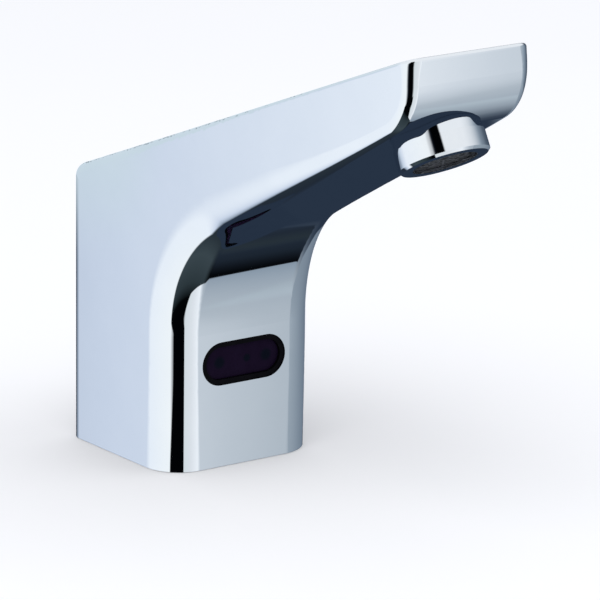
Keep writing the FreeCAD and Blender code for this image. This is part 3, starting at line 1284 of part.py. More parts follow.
nose = slot_block("case_nose", LENS_BACK, NOSE_FRONT, NOSE_WIDTH, NOSE_TALL,
                  "lens_width", "lens_tall")
nose_root = slot_block("case_nose_root", f"({CASE_FRONT} + case_wall)", LENS_BACK, NOSE_WIDTH,
                       NOSE_TALL, "lens_width - 2 * lens_ledge", "lens_tall - 2 * lens_ledge")
case_outside = block("case_outside", "-case_width / 2", "case_width / 2", CASE_FRONT, CASE_BACK,
                     "window_height - case_tall / 2", "window_height + case_tall / 2")
case_inside = block("case_inside", "-case_width / 2 + case_wall", "case_width / 2 - case_wall",
                    f"({CASE_FRONT} + case_wall)", f"({CASE_BACK} + {PAST})",
                    "window_height - case_tall / 2 + case_wall",
                    "window_height + case_tall / 2 - case_wall")
case_window = slot_block("case_window", f"({CASE_FRONT} + 2 * case_wall)",
                         f"({CASE_FRONT} - {PAST})", f"{NOSE_WIDTH} - 2 * seat_gap",
                         f"{NOSE_TALL} - 2 * seat_gap")
ears = []
ear_holes = []
for sign in ("+", "-"):
    middle = f"(window_height {sign} {EAR_RISE})"
    ears.append(block("case_ear", "-ear_width / 2", "ear_width / 2", EAR_FRONT,
                      f"({EAR_FRONT} + ear_thick)", f"({middle} - ear_height / 2 - ear_root)",
                      f"({middle} + ear_height / 2 + ear_root)"))
    ear_holes.append(facing_front(rod("ear_hole", "screw_radius + hole_gap", "2 * ear_thick"), "0",
                                  f"{EAR_FRONT} + 1.5 * ear_thick", middle))
case_shell = cut("case_shell", case_outside, joined("case_hollow", case_inside, case_window))
case = cut("case_cut", joined("case_fused", case_shell, nose, nose_root, *ears),
           joined("ear_holes", *ear_holes))
keep(case, "sensor_case")

keep(slot_block("sensor_lens", f"({LENS_BACK} - seat_gap)", LENS_FRONT,
                "lens_width - 2 * seat_gap", "lens_tall - 2 * seat_gap"), "sensor_lens")
keep(slot_block("window_gasket", f"({CASE_FRONT} - seat_gap)",
                f"({WALL_FACE} + pad_thick + seat_gap)",
                "window_width + 2 * (pad_margin - gasket_inset)",
                "window_tall + 2 * (pad_margin - gasket_inset)",
                "window_width + 2 * gasket_hole", "window_tall + 2 * gasket_hole"),
     "window_gasket")

BOARD_FRONT = f"({CASE_FRONT} + board_depth)"
BOARD_SIDE = "(case_width / 2 - case_wall - board_gap)"
BOARD_RISE = "(case_tall / 2 - case_wall - board_gap)"
keep(block("sensor_board", f"-{BOARD_SIDE}", BOARD_SIDE, BOARD_FRONT,
           f"({BOARD_FRONT} + board_thick)", f"window_height - {BOARD_RISE}",
           f"window_height + {BOARD_RISE}"), "sensor_board")


def eye(name, side, radius, length):
    """Round-nosed diode that stands on the front of the board."""
    body = turned(name, [("0", "0"), (f"{radius} + eye_flange", "0"),
                         (f"{radius} + eye_flange", "eye_foot"), (radius, "eye_foot"),
                         (radius, f"{length} - eye_nose"),
                         (f"{radius} - eye_nose", f"{length} - eye_nose / 4"), ("0", length)])
    return keep(facing_front(body, side, f"{BOARD_FRONT} - seat_gap", "window_height"), name)


eye("ir_emitter", "-emitter_side", "eye_radius", "eye_length")
eye("ir_receiver", "receiver_side", "eye_radius", "eye_length")
eye("indicator_lamp", "lamp_side", "lamp_radius", "lamp_length")
keep(block("case_cover", "-case_width / 2", "case_width / 2", f"({CASE_BACK} + seat_gap)",
           f"({CASE_BACK} + cover_thick)", "window_height - case_tall / 2",
           "window_height + case_tall / 2"), "case_cover")
sensor_screw_places = []
for sign in (1, -1):
    spot = FreeCAD.Vector(0, size(f"{EAR_FRONT} + ear_thick"),
                          size("window_height") + sign * size(EAR_RISE))
    sensor_screw_places.append(FreeCAD.Placement(spot, FreeCAD.Rotation(X_AXIS, 90)))
screw_group("sensor_screws", "ear_screw", sensor_screw_places)


# ---------------------------------------------------------------- battery

CELL_FOOT = "(plate_thick + seat_gap + holder_wall + cell_gap)"
CELL_TOP = f"({CELL_FOOT} + cell_tall)"
CELL_BACK = "(cell_back + cell_depth)"
HOLD = "(cell_gap + holder_wall)"

cell_block = doc.addObject("Part::Box", "battery_block")
bind(cell_block, Length="cell_width", Width="cell_depth", Height="cell_tall")
place(cell_block, "-cell_width / 2", "cell_back", CELL_FOOT)
doc.recompute()
cell = doc.addObject("Part::Fillet", "battery_rounded")
cell.Base = cell_block
cell.Edges = [(number, size("cell_corner"), size("cell_corner"))
              for number, edge in enumerate(cell_block.Shape.Edges, start=1)
              if edge.Length > size("cell_tall") - 0.1]
keep(cell, "battery")

holder_outside = block("holder_outside", f"-cell_width / 2 - {HOLD}", f"cell_width / 2 + {HOLD}",
                       f"(cell_back - {HOLD})", f"({CELL_BACK} + {HOLD})",
                       "plate_thick + seat_gap", "plate_thick + seat_gap + holder_tall")
holder_inside = block("holder_inside", "-cell_width / 2 - cell_gap", "cell_width / 2 + cell_gap",
                      "(cell_back - cell_gap)", f"({CELL_BACK} + cell_gap)",
                      f"({CELL_FOOT} - cell_gap)", f"plate_thick + holder_tall + {PAST}")
pegs = []
peg_holes = []
for sign in ("", "-"):
    side = f"{sign}holder_side"
    pegs.append(place(rod("holder_peg", "peg_radius", "peg_depth + seat_gap + holder_wall"),
                      side, CELL_MIDDLE, "plate_thick - peg_depth"))
    peg_holes.append(place(rod("peg_hole", "screw_radius", "peg_depth + seat_gap + holder_wall"),
                           side, CELL_MIDDLE, "plate_thick - peg_depth - peg_floor"))
holder = cut("holder_cut", joined("holder_fused", cut("holder_box", holder_outside, holder_inside),
                                  *pegs), joined("peg_holes", *peg_holes))
keep(holder, "battery_holder")
screw_group("holder_screws", "plate_thick + holder_wall - peg_screw_end - head_sink",
            [pointing_up(f"{sign}holder_side", CELL_MIDDLE, "head_sink") for sign in ("", "-")])

CAP_FOOT = f"({CELL_TOP} + contact_thick + seat_gap - cap_tall)"
CAP_HEAD = f"({CELL_TOP} + contact_thick + seat_gap + cap_top)"
cap_outside = block("cap_outside", "-cell_width / 2 - cap_gap - cap_wall",
                    "cell_width / 2 + cap_gap + cap_wall", "(cell_back - cap_gap - cap_wall)",
                    f"({CELL_BACK} + cap_gap + cap_wall)", CAP_FOOT, CAP_HEAD)
cap_inside = block("cap_inside", "-cell_width / 2 - cap_gap", "cell_width / 2 + cap_gap",
                   "(cell_back - cap_gap)", f"({CELL_BACK} + cap_gap)", f"({CAP_FOOT} - {PAST})",
                   f"({CAP_HEAD} - cap_top)")
keep(cut("cap_cut", cap_outside, cap_inside), "battery_cap")

contacts = []
for side in ("-contact_side", "contact_side"):
    contacts.append(block("contact", f"{side} - contact_width / 2", f"{side} + contact_width / 2",
                          f"({CELL_MIDDLE} - contact_length / 2)",
                          f"({CELL_MIDDLE} + contact_length / 2)",
                          f"({CELL_TOP} + contact_gap)",
                          f"({CAP_HEAD} - cap_top - contact_gap)"))
doc.recompute()
contact_group = doc.addObject("Part::Compound", "battery_contacts")
contact_group.Links = contacts
keep(contact_group, "battery_contacts")


# ---------------------------------------------------------------- leads

def rounded_path(points, radii):
    """Wire of straight runs joined by tangent arcs."""
    edges = []
    start = points[0]
    for before, corner, after, radius in zip(points, points[1:], points[2:], radii):
        inward = (before - corner).normalize()
        onward = (after - corner).normalize()
        half = math.pi / 2 - inward.getAngle(onward) / 2
        trim = radius * math.tan(half)
        bisector = (inward + onward).normalize()
        middle = corner + bisector * (radius / math.cos(half) - radius)
        edges.append(Part.LineSegment(start, corner + inward * trim).toShape())
        edges.append(Part.Arc(corner + inward * trim, middle, corner + onward * trim).toShape())
        start = corner + onward * trim
    edges.append(Part.LineSegment(start, points[-1]).toShape())
    return Part.Wire(edges)


def pipe(wire, radius):
    """Solid of round section along a wire."""
    start = wire.Edges[0].valueAt(wire.Edges[0].FirstParameter)
    direction = wire.Edges[0].tangentAt(wire.Edges[0].FirstParameter)
    section = Part.Wire([Part.Circle(start, direction, radius).toShape()])
    return wire.makePipeShell([section], True, False)


def lead(name, points):
    """Two wires side by side along a route of straight runs and tangent arcs."""
    runs = [(after - before).Length for before, after in zip(points, points[1:])]
    radii = []
    for index in range(1, len(points) - 1):
        inward = points[index] - points[index - 1]
        onward = points[index + 1] - points[index]
        half = inward.getAngle(onward) / 2
        radii.append(TURN_SHARE * min(runs[index - 1], runs[index]) / math.tan(half))
    print(name, "arc radii", [round(radius, 1) for radius in radii])
    wires = []
    for sign in (-1, 1):
        shift = FreeCAD.Vector(sign * size("wire_pitch") / 2, 0, 0)
        route = rounded_path([point + shift for point in points], radii)
        wires.append(pipe(route, size("wire_radius")))
    item = doc.addObject("Part::Feature", name)
    item.Shape = Part.makeCompound(wires)
    return keep(item, name)


cover_back = size(f"{CASE_BACK} + cover_thick + seat_gap")
cap_front = size("cell_back - cap_gap - cap_wall - seat_gap")
cap_middle = size(f"{CAP_FOOT} + cap_tall / 2")
battery_side = size("cell_width / 2 - lead_inset")
cover_entry = size("window_height + case_tall / 2 - lead_drop")
lead("battery_lead", [
    FreeCAD.Vector(battery_side, cap_front, cap_middle),
    FreeCAD.Vector(battery_side, (cap_front + cover_back) / 2, cap_middle),
    FreeCAD.Vector(battery_side, (cap_front + cover_back) / 2, cover_entry),
    FreeCAD.Vector(battery_side, cover_back, cover_entry)])
lead_side = size("-valve_radius - lead_clear")
coil_side = size("-coil_radius - lead_out")
coil_front = size("-seat_forward + coil_start + lead_out")
coil_height = size(f"{VALVE_HEIGHT} - lead_fall")
first_bend = size("lead_slope")
lead("valve_lead", [
    FreeCAD.Vector(coil_side, coil_front, coil_height),
    FreeCAD.Vector(lead_side, coil_front - first_bend, coil_height - first_bend),
    FreeCAD.Vector(lead_side, cover_back + size("lead_bend"), cover_entry + size("lead_rise")),
    FreeCAD.Vector(-battery_side, cover_back + size("lead_turn"), cover_entry),
    FreeCAD.Vector(-battery_side, cover_back, cover_entry)])


# ---------------------------------------------------------------- checks and files

doc.recompute()
for item in doc.Objects:
    if "Invalid" in item.State or "Error" in item.State:
        raise RuntimeError(f"{item.Name} failed: {item.State}")
os.makedirs("parts", exist_ok=True)
for item in sub_parts:
    if item.Shape.isNull() or not item.Shape.isValid():
        raise RuntimeError(f"{item.Label} has no valid shape")
    item.Shape.exportStep(f"parts/{item.Label}.step")
    print(f"{item.Label}: {len(item.Shape.Solids)} solid, {item.Shape.Volume:.0f} mm3")
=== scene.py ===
"""Looks, camera and studio for the sensor tap, around the frame that its CAD part packs.

Lengths are in metres in the CAD frame: +Z is up and the spout points along -Y. Only the casting's
own sizes are in millimetres, as in the part's source.
"""
import json
import math

import bmesh
import bpy
from mathutils import Matrix, Vector


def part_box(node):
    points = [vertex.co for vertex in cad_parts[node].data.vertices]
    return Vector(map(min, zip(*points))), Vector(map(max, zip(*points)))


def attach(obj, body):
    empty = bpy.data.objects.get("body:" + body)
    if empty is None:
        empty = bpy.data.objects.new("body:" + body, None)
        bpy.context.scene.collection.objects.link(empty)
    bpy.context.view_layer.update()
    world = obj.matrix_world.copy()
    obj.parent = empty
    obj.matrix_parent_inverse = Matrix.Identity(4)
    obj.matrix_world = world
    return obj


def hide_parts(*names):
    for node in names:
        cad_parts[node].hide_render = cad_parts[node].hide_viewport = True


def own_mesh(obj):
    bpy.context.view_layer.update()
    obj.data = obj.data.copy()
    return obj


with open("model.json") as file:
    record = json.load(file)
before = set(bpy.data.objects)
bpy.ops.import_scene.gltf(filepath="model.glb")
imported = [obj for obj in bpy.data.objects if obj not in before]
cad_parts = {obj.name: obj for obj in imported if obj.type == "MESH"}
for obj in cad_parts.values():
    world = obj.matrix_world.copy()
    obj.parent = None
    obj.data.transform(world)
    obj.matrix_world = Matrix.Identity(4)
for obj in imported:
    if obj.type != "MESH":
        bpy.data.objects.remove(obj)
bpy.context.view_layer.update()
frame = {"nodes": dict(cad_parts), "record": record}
nodes = frame["nodes"]
scene = bpy.context.scene


# ---------------------------------------------------------------- shader helpers

def new_material(name):
    """An empty material and its node tree."""
    material = bpy.data.materials.new(name)
    material.use_nodes = True
    tree = material.node_tree
    tree.nodes.clear()
    return material, tree


def feed(tree, socket, value):
    """Links another node's output to the socket, or sets the socket's own value."""
    if isinstance(value, bpy.types.NodeSocket):
        tree.links.new(value, socket)
    else:
        socket.default_value = value


def add(tree, kind, **values):
    """Adds a node and sets its properties and its inputs by name."""
    node = tree.nodes.new(kind)
    for key, value in values.items():
        if hasattr(node, key):
            setattr(node, key, value)
        else:
            feed(tree, node.inputs[key.replace("_", " ")], value)
    return node


def calculate(tree, operation, *operands):
    """The result of a calculation with sockets and numbers."""
    node = add(tree, "ShaderNodeMath", operation=operation)
    for socket, value in zip(node.inputs, operands):
        feed(tree, socket, value)
    return node.outputs[0]


def opposite(tree, share):
    """What is left of 1 after the share."""
    return calculate(tree, "SUBTRACT", 1.0, share)


def fade(tree, source, low, high, kind="SMOOTHSTEP"):
    """Goes from 0 to 1 while the source goes from low to high."""
    span = add(tree, "ShaderNodeMapRange", interpolation_type=kind, From_Min=low, From_Max=high,
               Value=source)
    return span.outputs[0]


def blend(tree, share, first, second):
    """A mix of two colours, each a socket or a tuple; a share of 1 shows the second."""
    first, second = ((*colour, 1.0) if isinstance(colour, tuple) else colour
                     for colour in (first, second))
    node = add(tree, "ShaderNodeMix", data_type="RGBA", Factor=share, A=first, B=second)
    return node.outputs["Result"]


def ramp(tree, source, stops):
    """A colour ramp over the source; each stop is a position and a colour."""
    node = tree.nodes.new("ShaderNodeValToRGB")
    elements = node.color_ramp.elements
    while len(elements) < len(stops):
        elements.new(0.5)
    for element, (position, colour) in zip(elements, stops):
        element.position = position
        element.color = (*colour, 1.0)
    feed(tree, node.inputs[0], source)
    return node.outputs[0]


def object_place(tree):
    """Coordinates in the object's own space."""
    return tree.nodes.new("ShaderNodeTexCoord").outputs["Object"]


def finish_shader(tree, shader):
    add(tree, "ShaderNodeOutputMaterial", Surface=shader)


def srgb(red, green, blue):
    """Linear colour of an sRGB triple from 0 to 255."""
    return tuple(((c / 255 + 0.055) / 1.055) ** 2.4 if c > 10 else c / 255 / 12.92
                 for c in (red, green, blue))


# ---------------------------------------------------------------- the tap's finishes

TONE_STOPS = (0.3, 0.7)         # where a noise turns from the darker to the lighter tone
WEAR_SCALE = 0.13               # patches of wear against the grain
BUMP_HEIGHT = 0.0002

FINISHES = {
    "chrome": dict(
        colour=(0.93, 0.94, 0.955), shade=(0.90, 0.915, 0.935),
        metallic=1.0, roughness=0.03, spread=0.012, grain=45.0),
    "aerator_chrome": dict(
        colour=(0.93, 0.935, 0.945), shade=(0.89, 0.90, 0.92),
        metallic=1.0, roughness=0.035, spread=0.015, grain=160.0),
    "brass": dict(
        colour=(0.76, 0.58, 0.27), shade=(0.62, 0.45, 0.19),
        metallic=1.0, roughness=0.30, spread=0.08, grain=700.0,
        bump=0.25, bump_scale=500.0, stretch=(1.0, 1.0, 6.0)),
    "steel": dict(
        colour=(0.66, 0.66, 0.67), shade=(0.52, 0.53, 0.54),
        metallic=1.0, roughness=0.24, spread=0.08, grain=900.0,
        bump=0.2, bump_scale=900.0, stretch=(6.0, 1.0, 6.0)),
    "zinc_steel": dict(
        colour=(0.70, 0.70, 0.68), shade=(0.58, 0.59, 0.60),
        metallic=1.0, roughness=0.36, spread=0.08, grain=420.0,
        bump=0.3, bump_scale=1200.0),
    "rubber": dict(
        colour=(0.0030, 0.0030, 0.0036), shade=(0.0015, 0.0015, 0.0020),
        roughness=0.5, spread=0.10, grain=1500.0, bump=0.35, bump_scale=2600.0,
        Specular_IOR_Level=0.1),
    "red_rubber": dict(
        colour=(0.33, 0.05, 0.035), shade=(0.24, 0.03, 0.022),
        roughness=0.52, spread=0.10, grain=900.0, bump=0.3, bump_scale=2200.0),
    "white_plastic": dict(
        colour=(0.78, 0.78, 0.74), shade=(0.72, 0.72, 0.68),
        roughness=0.42, spread=0.08, grain=500.0, bump=0.2, bump_scale=1800.0),
    "grey_plastic": dict(
        colour=(0.095, 0.100, 0.108), shade=(0.070, 0.075, 0.082),
        roughness=0.46, spread=0.08, grain=800.0, bump=0.4, bump_scale=2400.0),
    "dark_plastic": dict(
        colour=(0.0040, 0.0036, 0.0052), shade=(0.0022, 0.0020, 0.0030),
        roughness=0.30, spread=0.06, grain=600.0, Specular_IOR_Level=0.03),
    "board": dict(
        colour=(0.020, 0.140, 0.050), shade=(0.010, 0.085, 0.030),
        roughness=0.32, spread=0.08, grain=350.0, bump=0.2, bump_scale=900.0),
    "copper": dict(
        colour=(0.60, 0.22, 0.09), shade=(0.38, 0.12, 0.05),
        metallic=0.8, roughness=0.28, spread=0.06, grain=260.0,
        bump=0.5, bump_scale=700.0, stretch=(1.0, 12.0, 1.0)),
    "cell": dict(
        colour=(0.050, 0.056, 0.066), shade=(0.035, 0.040, 0.048),
        roughness=0.30, spread=0.08, grain=220.0, bump=0.15, bump_scale=500.0),
    "lead_jacket": dict(
        colour=(0.030, 0.030, 0.032), shade=(0.018, 0.018, 0.020),
        roughness=0.36, spread=0.06, grain=900.0, bump=0.2, bump_scale=2000.0),
}

LENS_TINTS = ((0.0085, 0.0042, 0.0150), (0.0105, 0.0055, 0.0185))
EYE_TINT = (0.0035, 0.0048, 0.0105)
EYE_CORE, EYE_RIM = 0.20, 0.50  # radii of an eye against its diode's width


def surface(name, colour, shade, roughness, spread, grain, metallic=0.0, bump=0.0,
            bump_scale=None, stretch=(1.0, 1.0, 1.0), **extra):
    """A procedural surface: two tones over a noise, a varied roughness and a fine bump."""
    material, tree = new_material(name)
    shader = add(tree, "ShaderNodeBsdfPrincipled", Metallic=metallic, **extra)
    mapping = add(tree, "ShaderNodeMapping", Vector=object_place(tree), Scale=stretch)
    place = mapping.outputs[0]
    tone = add(tree, "ShaderNodeTexNoise", Vector=place, Scale=grain, Detail=4.0, Roughness=0.6)
    feed(tree, shader.inputs["Base Color"],
         ramp(tree, tone.outputs["Fac"], list(zip(TONE_STOPS, (shade, colour)))))
    wear = add(tree, "ShaderNodeTexNoise", Vector=place, Scale=grain * WEAR_SCALE, Detail=3.0)
    span = add(tree, "ShaderNodeMapRange", Value=wear.outputs["Fac"],
               To_Min=max(0.0, roughness - spread), To_Max=roughness + spread)
    feed(tree, shader.inputs["Roughness"], span.outputs[0])
    if bump:
        relief = add(tree, "ShaderNodeTexNoise", Vector=place, Scale=bump_scale, Detail=2.0)
        bumps = add(tree, "ShaderNodeBump", Strength=bump, Distance=BUMP_HEIGHT,
                    Height=relief.outputs["Fac"])
        feed(tree, shader.inputs["Normal"], bumps.outputs["Normal"])
    finish_shader(tree, shader.outputs[0])
    return material


def lens_material():
    """The dark purple window, with the three diodes behind it as faint eyes."""
    material, tree = new_material("lens")
    place = object_place(tree)
    cloud = add(tree, "ShaderNodeTexNoise", Vector=place, Scale=260.0, Detail=3.0)
    tint = ramp(tree, cloud.outputs["Fac"], list(zip(TONE_STOPS, LENS_TINTS)))
    split = add(tree, "ShaderNodeSeparateXYZ", Vector=place)
    for diode in ("ir_emitter", "ir_receiver", "indicator_lamp"):
        low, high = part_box(diode)
        away = [calculate(tree, "SUBTRACT", split.outputs[axis], (low[axis] + high[axis]) / 2)
                for axis in (0, 2)]
        squares = [calculate(tree, "MULTIPLY", part, part) for part in away]
        far = calculate(tree, "SQRT", calculate(tree, "ADD", *squares))
        width = high[0] - low[0]
        tint = blend(tree, fade(tree, far, EYE_CORE * width, EYE_RIM * width), EYE_TINT, tint)
    shader = add(tree, "ShaderNodeBsdfPrincipled", Base_Color=tint, Roughness=0.09, IOR=1.49,
                 Specular_IOR_Level=0.02)
    finish_shader(tree, shader.outputs[0])
    return material


materials = {name: surface(name, **finish) for name, finish in FINISHES.items()}
materials["lens"] = lens_material()

for part in frame["record"]["subparts"]:
    node = nodes[part["node"]]
    node.data.materials.clear()
    node.data.materials.append(materials[part["material_slot"]])


# ---------------------------------------------------------------- camera

# The photo's camera, fitted to its outline. The angles are in degrees.
CAMERA_AZIMUTH, CAMERA_ELEVATION, CAMERA_ROLL = -34.7214, 16.2087, 0.7103
CAMERA_DISTANCE = 1.54903
SIDE_SHIFT, AIM_HEIGHT = 0.0319719, 0.0460248
FOCAL_PIXELS, FRAME_PIXELS = 4990.08, 600
SENSOR_WIDTH = 36.0


def photo_camera():
    azimuth, elevation, roll = (math.radians(angle) for angle in (
        CAMERA_AZIMUTH, CAMERA_ELEVATION, CAMERA_ROLL))
    right = Vector((math.cos(azimuth), math.sin(azimuth), 0.0))
    back = Vector((math.sin(azimuth) * math.cos(elevation),
                   -math.cos(azimuth) * math.cos(elevation), math.sin(elevation)))
    up = back.cross(right)
    target = Vector((0.0, 0.0, AIM_HEIGHT)) + right * SIDE_SHIFT
    rolled_right = right * math.cos(roll) + up * math.sin(roll)
    rolled_up = up * math.cos(roll) - right * math.sin(roll)
    data = bpy.data.cameras.new("camera")
    data.sensor_width = SENSOR_WIDTH
    data.lens = FOCAL_PIXELS / FRAME_PIXELS * SENSOR_WIDTH
    camera = bpy.data.objects.new("camera", data)
    rotation = Matrix((rolled_right, rolled_up, back)).transposed()
    camera.matrix_world = Matrix.Translation(target + back * CAMERA_DISTANCE) @ rotation.to_4x4()
    scene.collection.objects.link(camera)
    scene.camera = camera


photo_camera()


# ---------------------------------------------------------------- exact normals on the casting

# The casting's outside as it was built, in millimetres and radians.
DEPTH, WIDTH, TAPER = 52.7, 55.0, math.radians(3.0)
REAR_HEIGHT, TOP_SLOPE = 87.2, math.radians(21.8)
REACH, UNDER_SLOPE, DROP = 139.6, math.radians(30.1), 18.3
THROAT_RADIUS, TIP_ROLL = 45.0, 18.3
COLUMN_EDGE, THROAT_EDGE, SPOUT_EDGE, TIP_EDGE = 12.3, 11.4, 3.6, 5.0
BACK_EDGE, BACK_TOP, TOP_EDGE = 5.0, 3.5, 1.0

TOP = Vector((0.0, math.sin(TOP_SLOPE), math.cos(TOP_SLOPE)))
UNDER = Vector((0.0, -math.sin(UNDER_SLOPE), -math.cos(UNDER_SLOPE)))
BACK = Vector((0.0, 1.0, 0.0))
FRONT = Vector((0.0, -1.0, 0.0))
FULL_TURN = math.pi / 2 - UNDER_SLOPE   # angle of the throat, and of the roll at the tip

FLAT = 0.99999          # cosine between a flat face's normal and its corners' normals
ACROSS = 0.003          # largest X part of the normals on the throat and the roll at the tip
NEARBY = 0.8            # mm between a vertex of the mesh and the outside
FACING = 0.8            # cosine between a face's normal and the outside's
TOUCHING = 0.96         # cosine between the outside's normal and a neighbouring face's
PARALLEL = 1e-6         # squared sine of the angle between two normals that count as the same
PLACES_PER_METRE = 1e6  # steps of position; vertices in the same step are one place
MM_PER_METRE = 1000.0


def under_height(y):
    """Height of the straight underside."""
    return REAR_HEIGHT - DROP - (y + DEPTH / 2) * math.tan(UNDER_SLOPE)


THROAT_Y = -DEPTH / 2 - THROAT_RADIUS
THROAT_Z = under_height(THROAT_Y) - THROAT_RADIUS / math.cos(UNDER_SLOPE)
ROLL_Y = -REACH + TIP_ROLL
ROLL_Z = under_height(ROLL_Y) + TIP_ROLL / math.cos(UNDER_SLOPE)


def between(first, second, share):
    return first + (second - first) * share


def front_profile(point):
    """Depth under the column's front, throat, underside, roll or tip, with the outward normal
    there and the radius of the side edges."""
    if point.z <= THROAT_Z:
        return point.y + DEPTH / 2, FRONT, COLUMN_EDGE
    turn = math.atan2(point.z - THROAT_Z, point.y - THROAT_Y)
    if point.y > THROAT_Y and turn < FULL_TURN:
        out = Vector((0.0, THROAT_Y - point.y, THROAT_Z - point.z))
        edge = between(COLUMN_EDGE, THROAT_EDGE, turn / FULL_TURN)
        return out.length - THROAT_RADIUS, out.normalized(), edge
    if point.z >= ROLL_Z:
        return point.y + REACH, FRONT, TIP_EDGE
    turn = math.atan2(ROLL_Y - point.y, ROLL_Z - point.z) - UNDER_SLOPE
    if point.y < ROLL_Y and turn > 0.0:
        out = Vector((0.0, point.y - ROLL_Y, point.z - ROLL_Z))
        edge = between(SPOUT_EDGE, TIP_EDGE, turn / FULL_TURN)
        return TIP_ROLL - out.length, out.normalized(), edge
    start = THROAT_Y + THROAT_RADIUS * math.sin(UNDER_SLOPE)
    end = ROLL_Y - TIP_ROLL * math.sin(UNDER_SLOPE)
    edge = between(THROAT_EDGE, SPOUT_EDGE, (start - point.y) / (start - end))
    return (point.z - under_height(point.y)) * math.cos(UNDER_SLOPE), UNDER, edge


def rolled(first, first_out, second, second_out, radius):
    """Depth and outward normal where a ball of that radius rounds two surfaces."""
    lean = first_out.dot(second_out)
    spread = 1.0 - lean * lean
    left, right = radius - first, radius - second
    a, b = left - lean * right, right - lean * left
    if a <= 0.0 or b <= 0.0 or spread < PARALLEL:
        return (first, first_out) if first < second else (second, second_out)
    out = (first_out * a + second_out * b) / spread
    return radius - out.length, out.normalized()


def outside(point):
    """Depth under the casting's outside and the outward normal there."""
    side_out = Vector((math.copysign(math.cos(TAPER), point.x), -math.sin(TAPER), 0.0))
    half = WIDTH / 2 + (point.y + DEPTH / 2) * math.tan(TAPER)
    side = (half - abs(point.x)) * math.cos(TAPER)
    front, front_out, edge = front_profile(point)
    wall, wall_out = rolled(side, side_out, front, front_out, edge)
    top_height = REAR_HEIGHT + (DEPTH / 2 - point.y) * math.tan(TOP_SLOPE)
    top = (top_height - point.z) * math.cos(TOP_SLOPE)
    cover, cover_out = rolled(DEPTH / 2 - point.y, BACK, top, TOP, BACK_TOP)
    edge = between(BACK_EDGE, TOP_EDGE, cover_out.angle(BACK) / TOP.angle(BACK))
    return rolled(wall, wall_out, cover, cover_out, edge)


def smooth_casting():
    """The casting's own mesh once more. Its flats, its throat and the roll at its tip keep their
    normals. The roundings of its edges get exact ones, which a mirror finish needs."""
    mesh = nodes["body_casting"].data.copy()
    normals = [Vector(corner.vector) for corner in mesh.corner_normals]
    places = [tuple(round(part * PLACES_PER_METRE) for part in vertex.co)
              for vertex in mesh.vertices]
    found = [outside(vertex.co * MM_PER_METRE) for vertex in mesh.vertices]
    kept, rounded = {}, []
    for face in mesh.polygons:
        corners = [normals[corner] for corner in face.loop_indices]
        if (all(corner.dot(face.normal) > FLAT for corner in corners)
                or all(abs(corner.x) < ACROSS for corner in corners)):
            for index, corner in zip(face.vertices, corners):
                kept.setdefault(places[index], []).append(corner)
        else:
            rounded.append(face)
    for face in rounded:
        face.use_smooth = True
        if not all(abs(found[index][0]) < NEARBY and found[index][1].dot(face.normal) > FACING
                   for index in face.vertices):
            continue
        for corner, index in zip(face.loop_indices, face.vertices):
            out = found[index][1]
            beside = [there for there in kept.get(places[index], []) if there.dot(out) > TOUCHING]
            normals[corner] = max(beside, key=out.dot) if beside else out
    mesh.normals_split_custom_set(normals)
    piece = bpy.data.objects.new("casting_shell", mesh)
    scene.collection.objects.link(piece)
    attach(piece, "tap")
    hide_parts("body_casting")


smooth_casting()


# ---------------------------------------------------------------- springs

def spring_piece(name):
    """The spring's own mesh once more, which takes the place of the spring in the tap."""
    piece = bpy.data.objects.new(name + "_coil", nodes[name].data.copy())
    scene.collection.objects.link(piece)
    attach(piece, "tap")
    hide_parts(name)
    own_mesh(piece)


spring_piece("plunger_spring")
spring_piece("check_valve_spring")


# ---------------------------------------------------------------- floor

FLOOR_HALF = 4.0
FLOOR_GAP = 0.0002      # below the foot
FLOOR_TONES = ((0.90, 0.90, 0.91), (0.92, 0.92, 0.93))
FLOOR_GLOW = 0.16       # for the camera only, which brings the floor up to the photo's white


def floor_piece():
    """A light floor that the chrome doesn't mirror."""
    mesh = bpy.data.meshes.new("floor")
    corners = [(x * FLOOR_HALF, y * FLOOR_HALF, 0)
               for x, y in ((-1, -1), (1, -1), (1, 1), (-1, 1))]
    mesh.from_pydata(corners, [], [(0, 1, 2, 3)])
    floor = bpy.data.objects.new("floor", mesh)
    scene.collection.objects.link(floor)
    floor.location.z = -FLOOR_GAP
    material, tree = new_material("floor")
    cloud = add(tree, "ShaderNodeTexNoise", Vector=object_place(tree), Scale=3.0, Detail=2.0)
    tone = ramp(tree, cloud.outputs["Fac"], list(zip((0.2, 0.8), FLOOR_TONES)))
    matt = add(tree, "ShaderNodeBsdfDiffuse", Color=tone)
    path = tree.nodes.new("ShaderNodeLightPath")
    glow = add(tree, "ShaderNodeEmission", Strength=calculate(
        tree, "MULTIPLY", path.outputs["Is Camera Ray"], FLOOR_GLOW))
    both = tree.nodes.new("ShaderNodeAddShader")
    for socket, shader in zip(both.inputs, (matt, glow)):
        feed(tree, socket, shader.outputs[0])
    finish_shader(tree, both.outputs[0])
    mesh.materials.append(material)
    floor.visible_glossy = False


# ---------------------------------------------------------------- light tent

TENT_RADIUS = 0.45
TENT_CENTRE = (0.0, -0.05, 0.06)
SHALLOWEST = 0.05       # share of the radius; it keeps the bottom's plan finite near the horizon
PLAN_X, PLAN_Y = 4.0, 3.6       # half sizes of the part of the plan that is painted
TWICE = 1.5             # ray depth of light that the chrome has reflected twice

NAVY = (40, 52, 69)
SKY = (236, 241, 246)
OUTLINE_GLOW = (206, 222, 232)

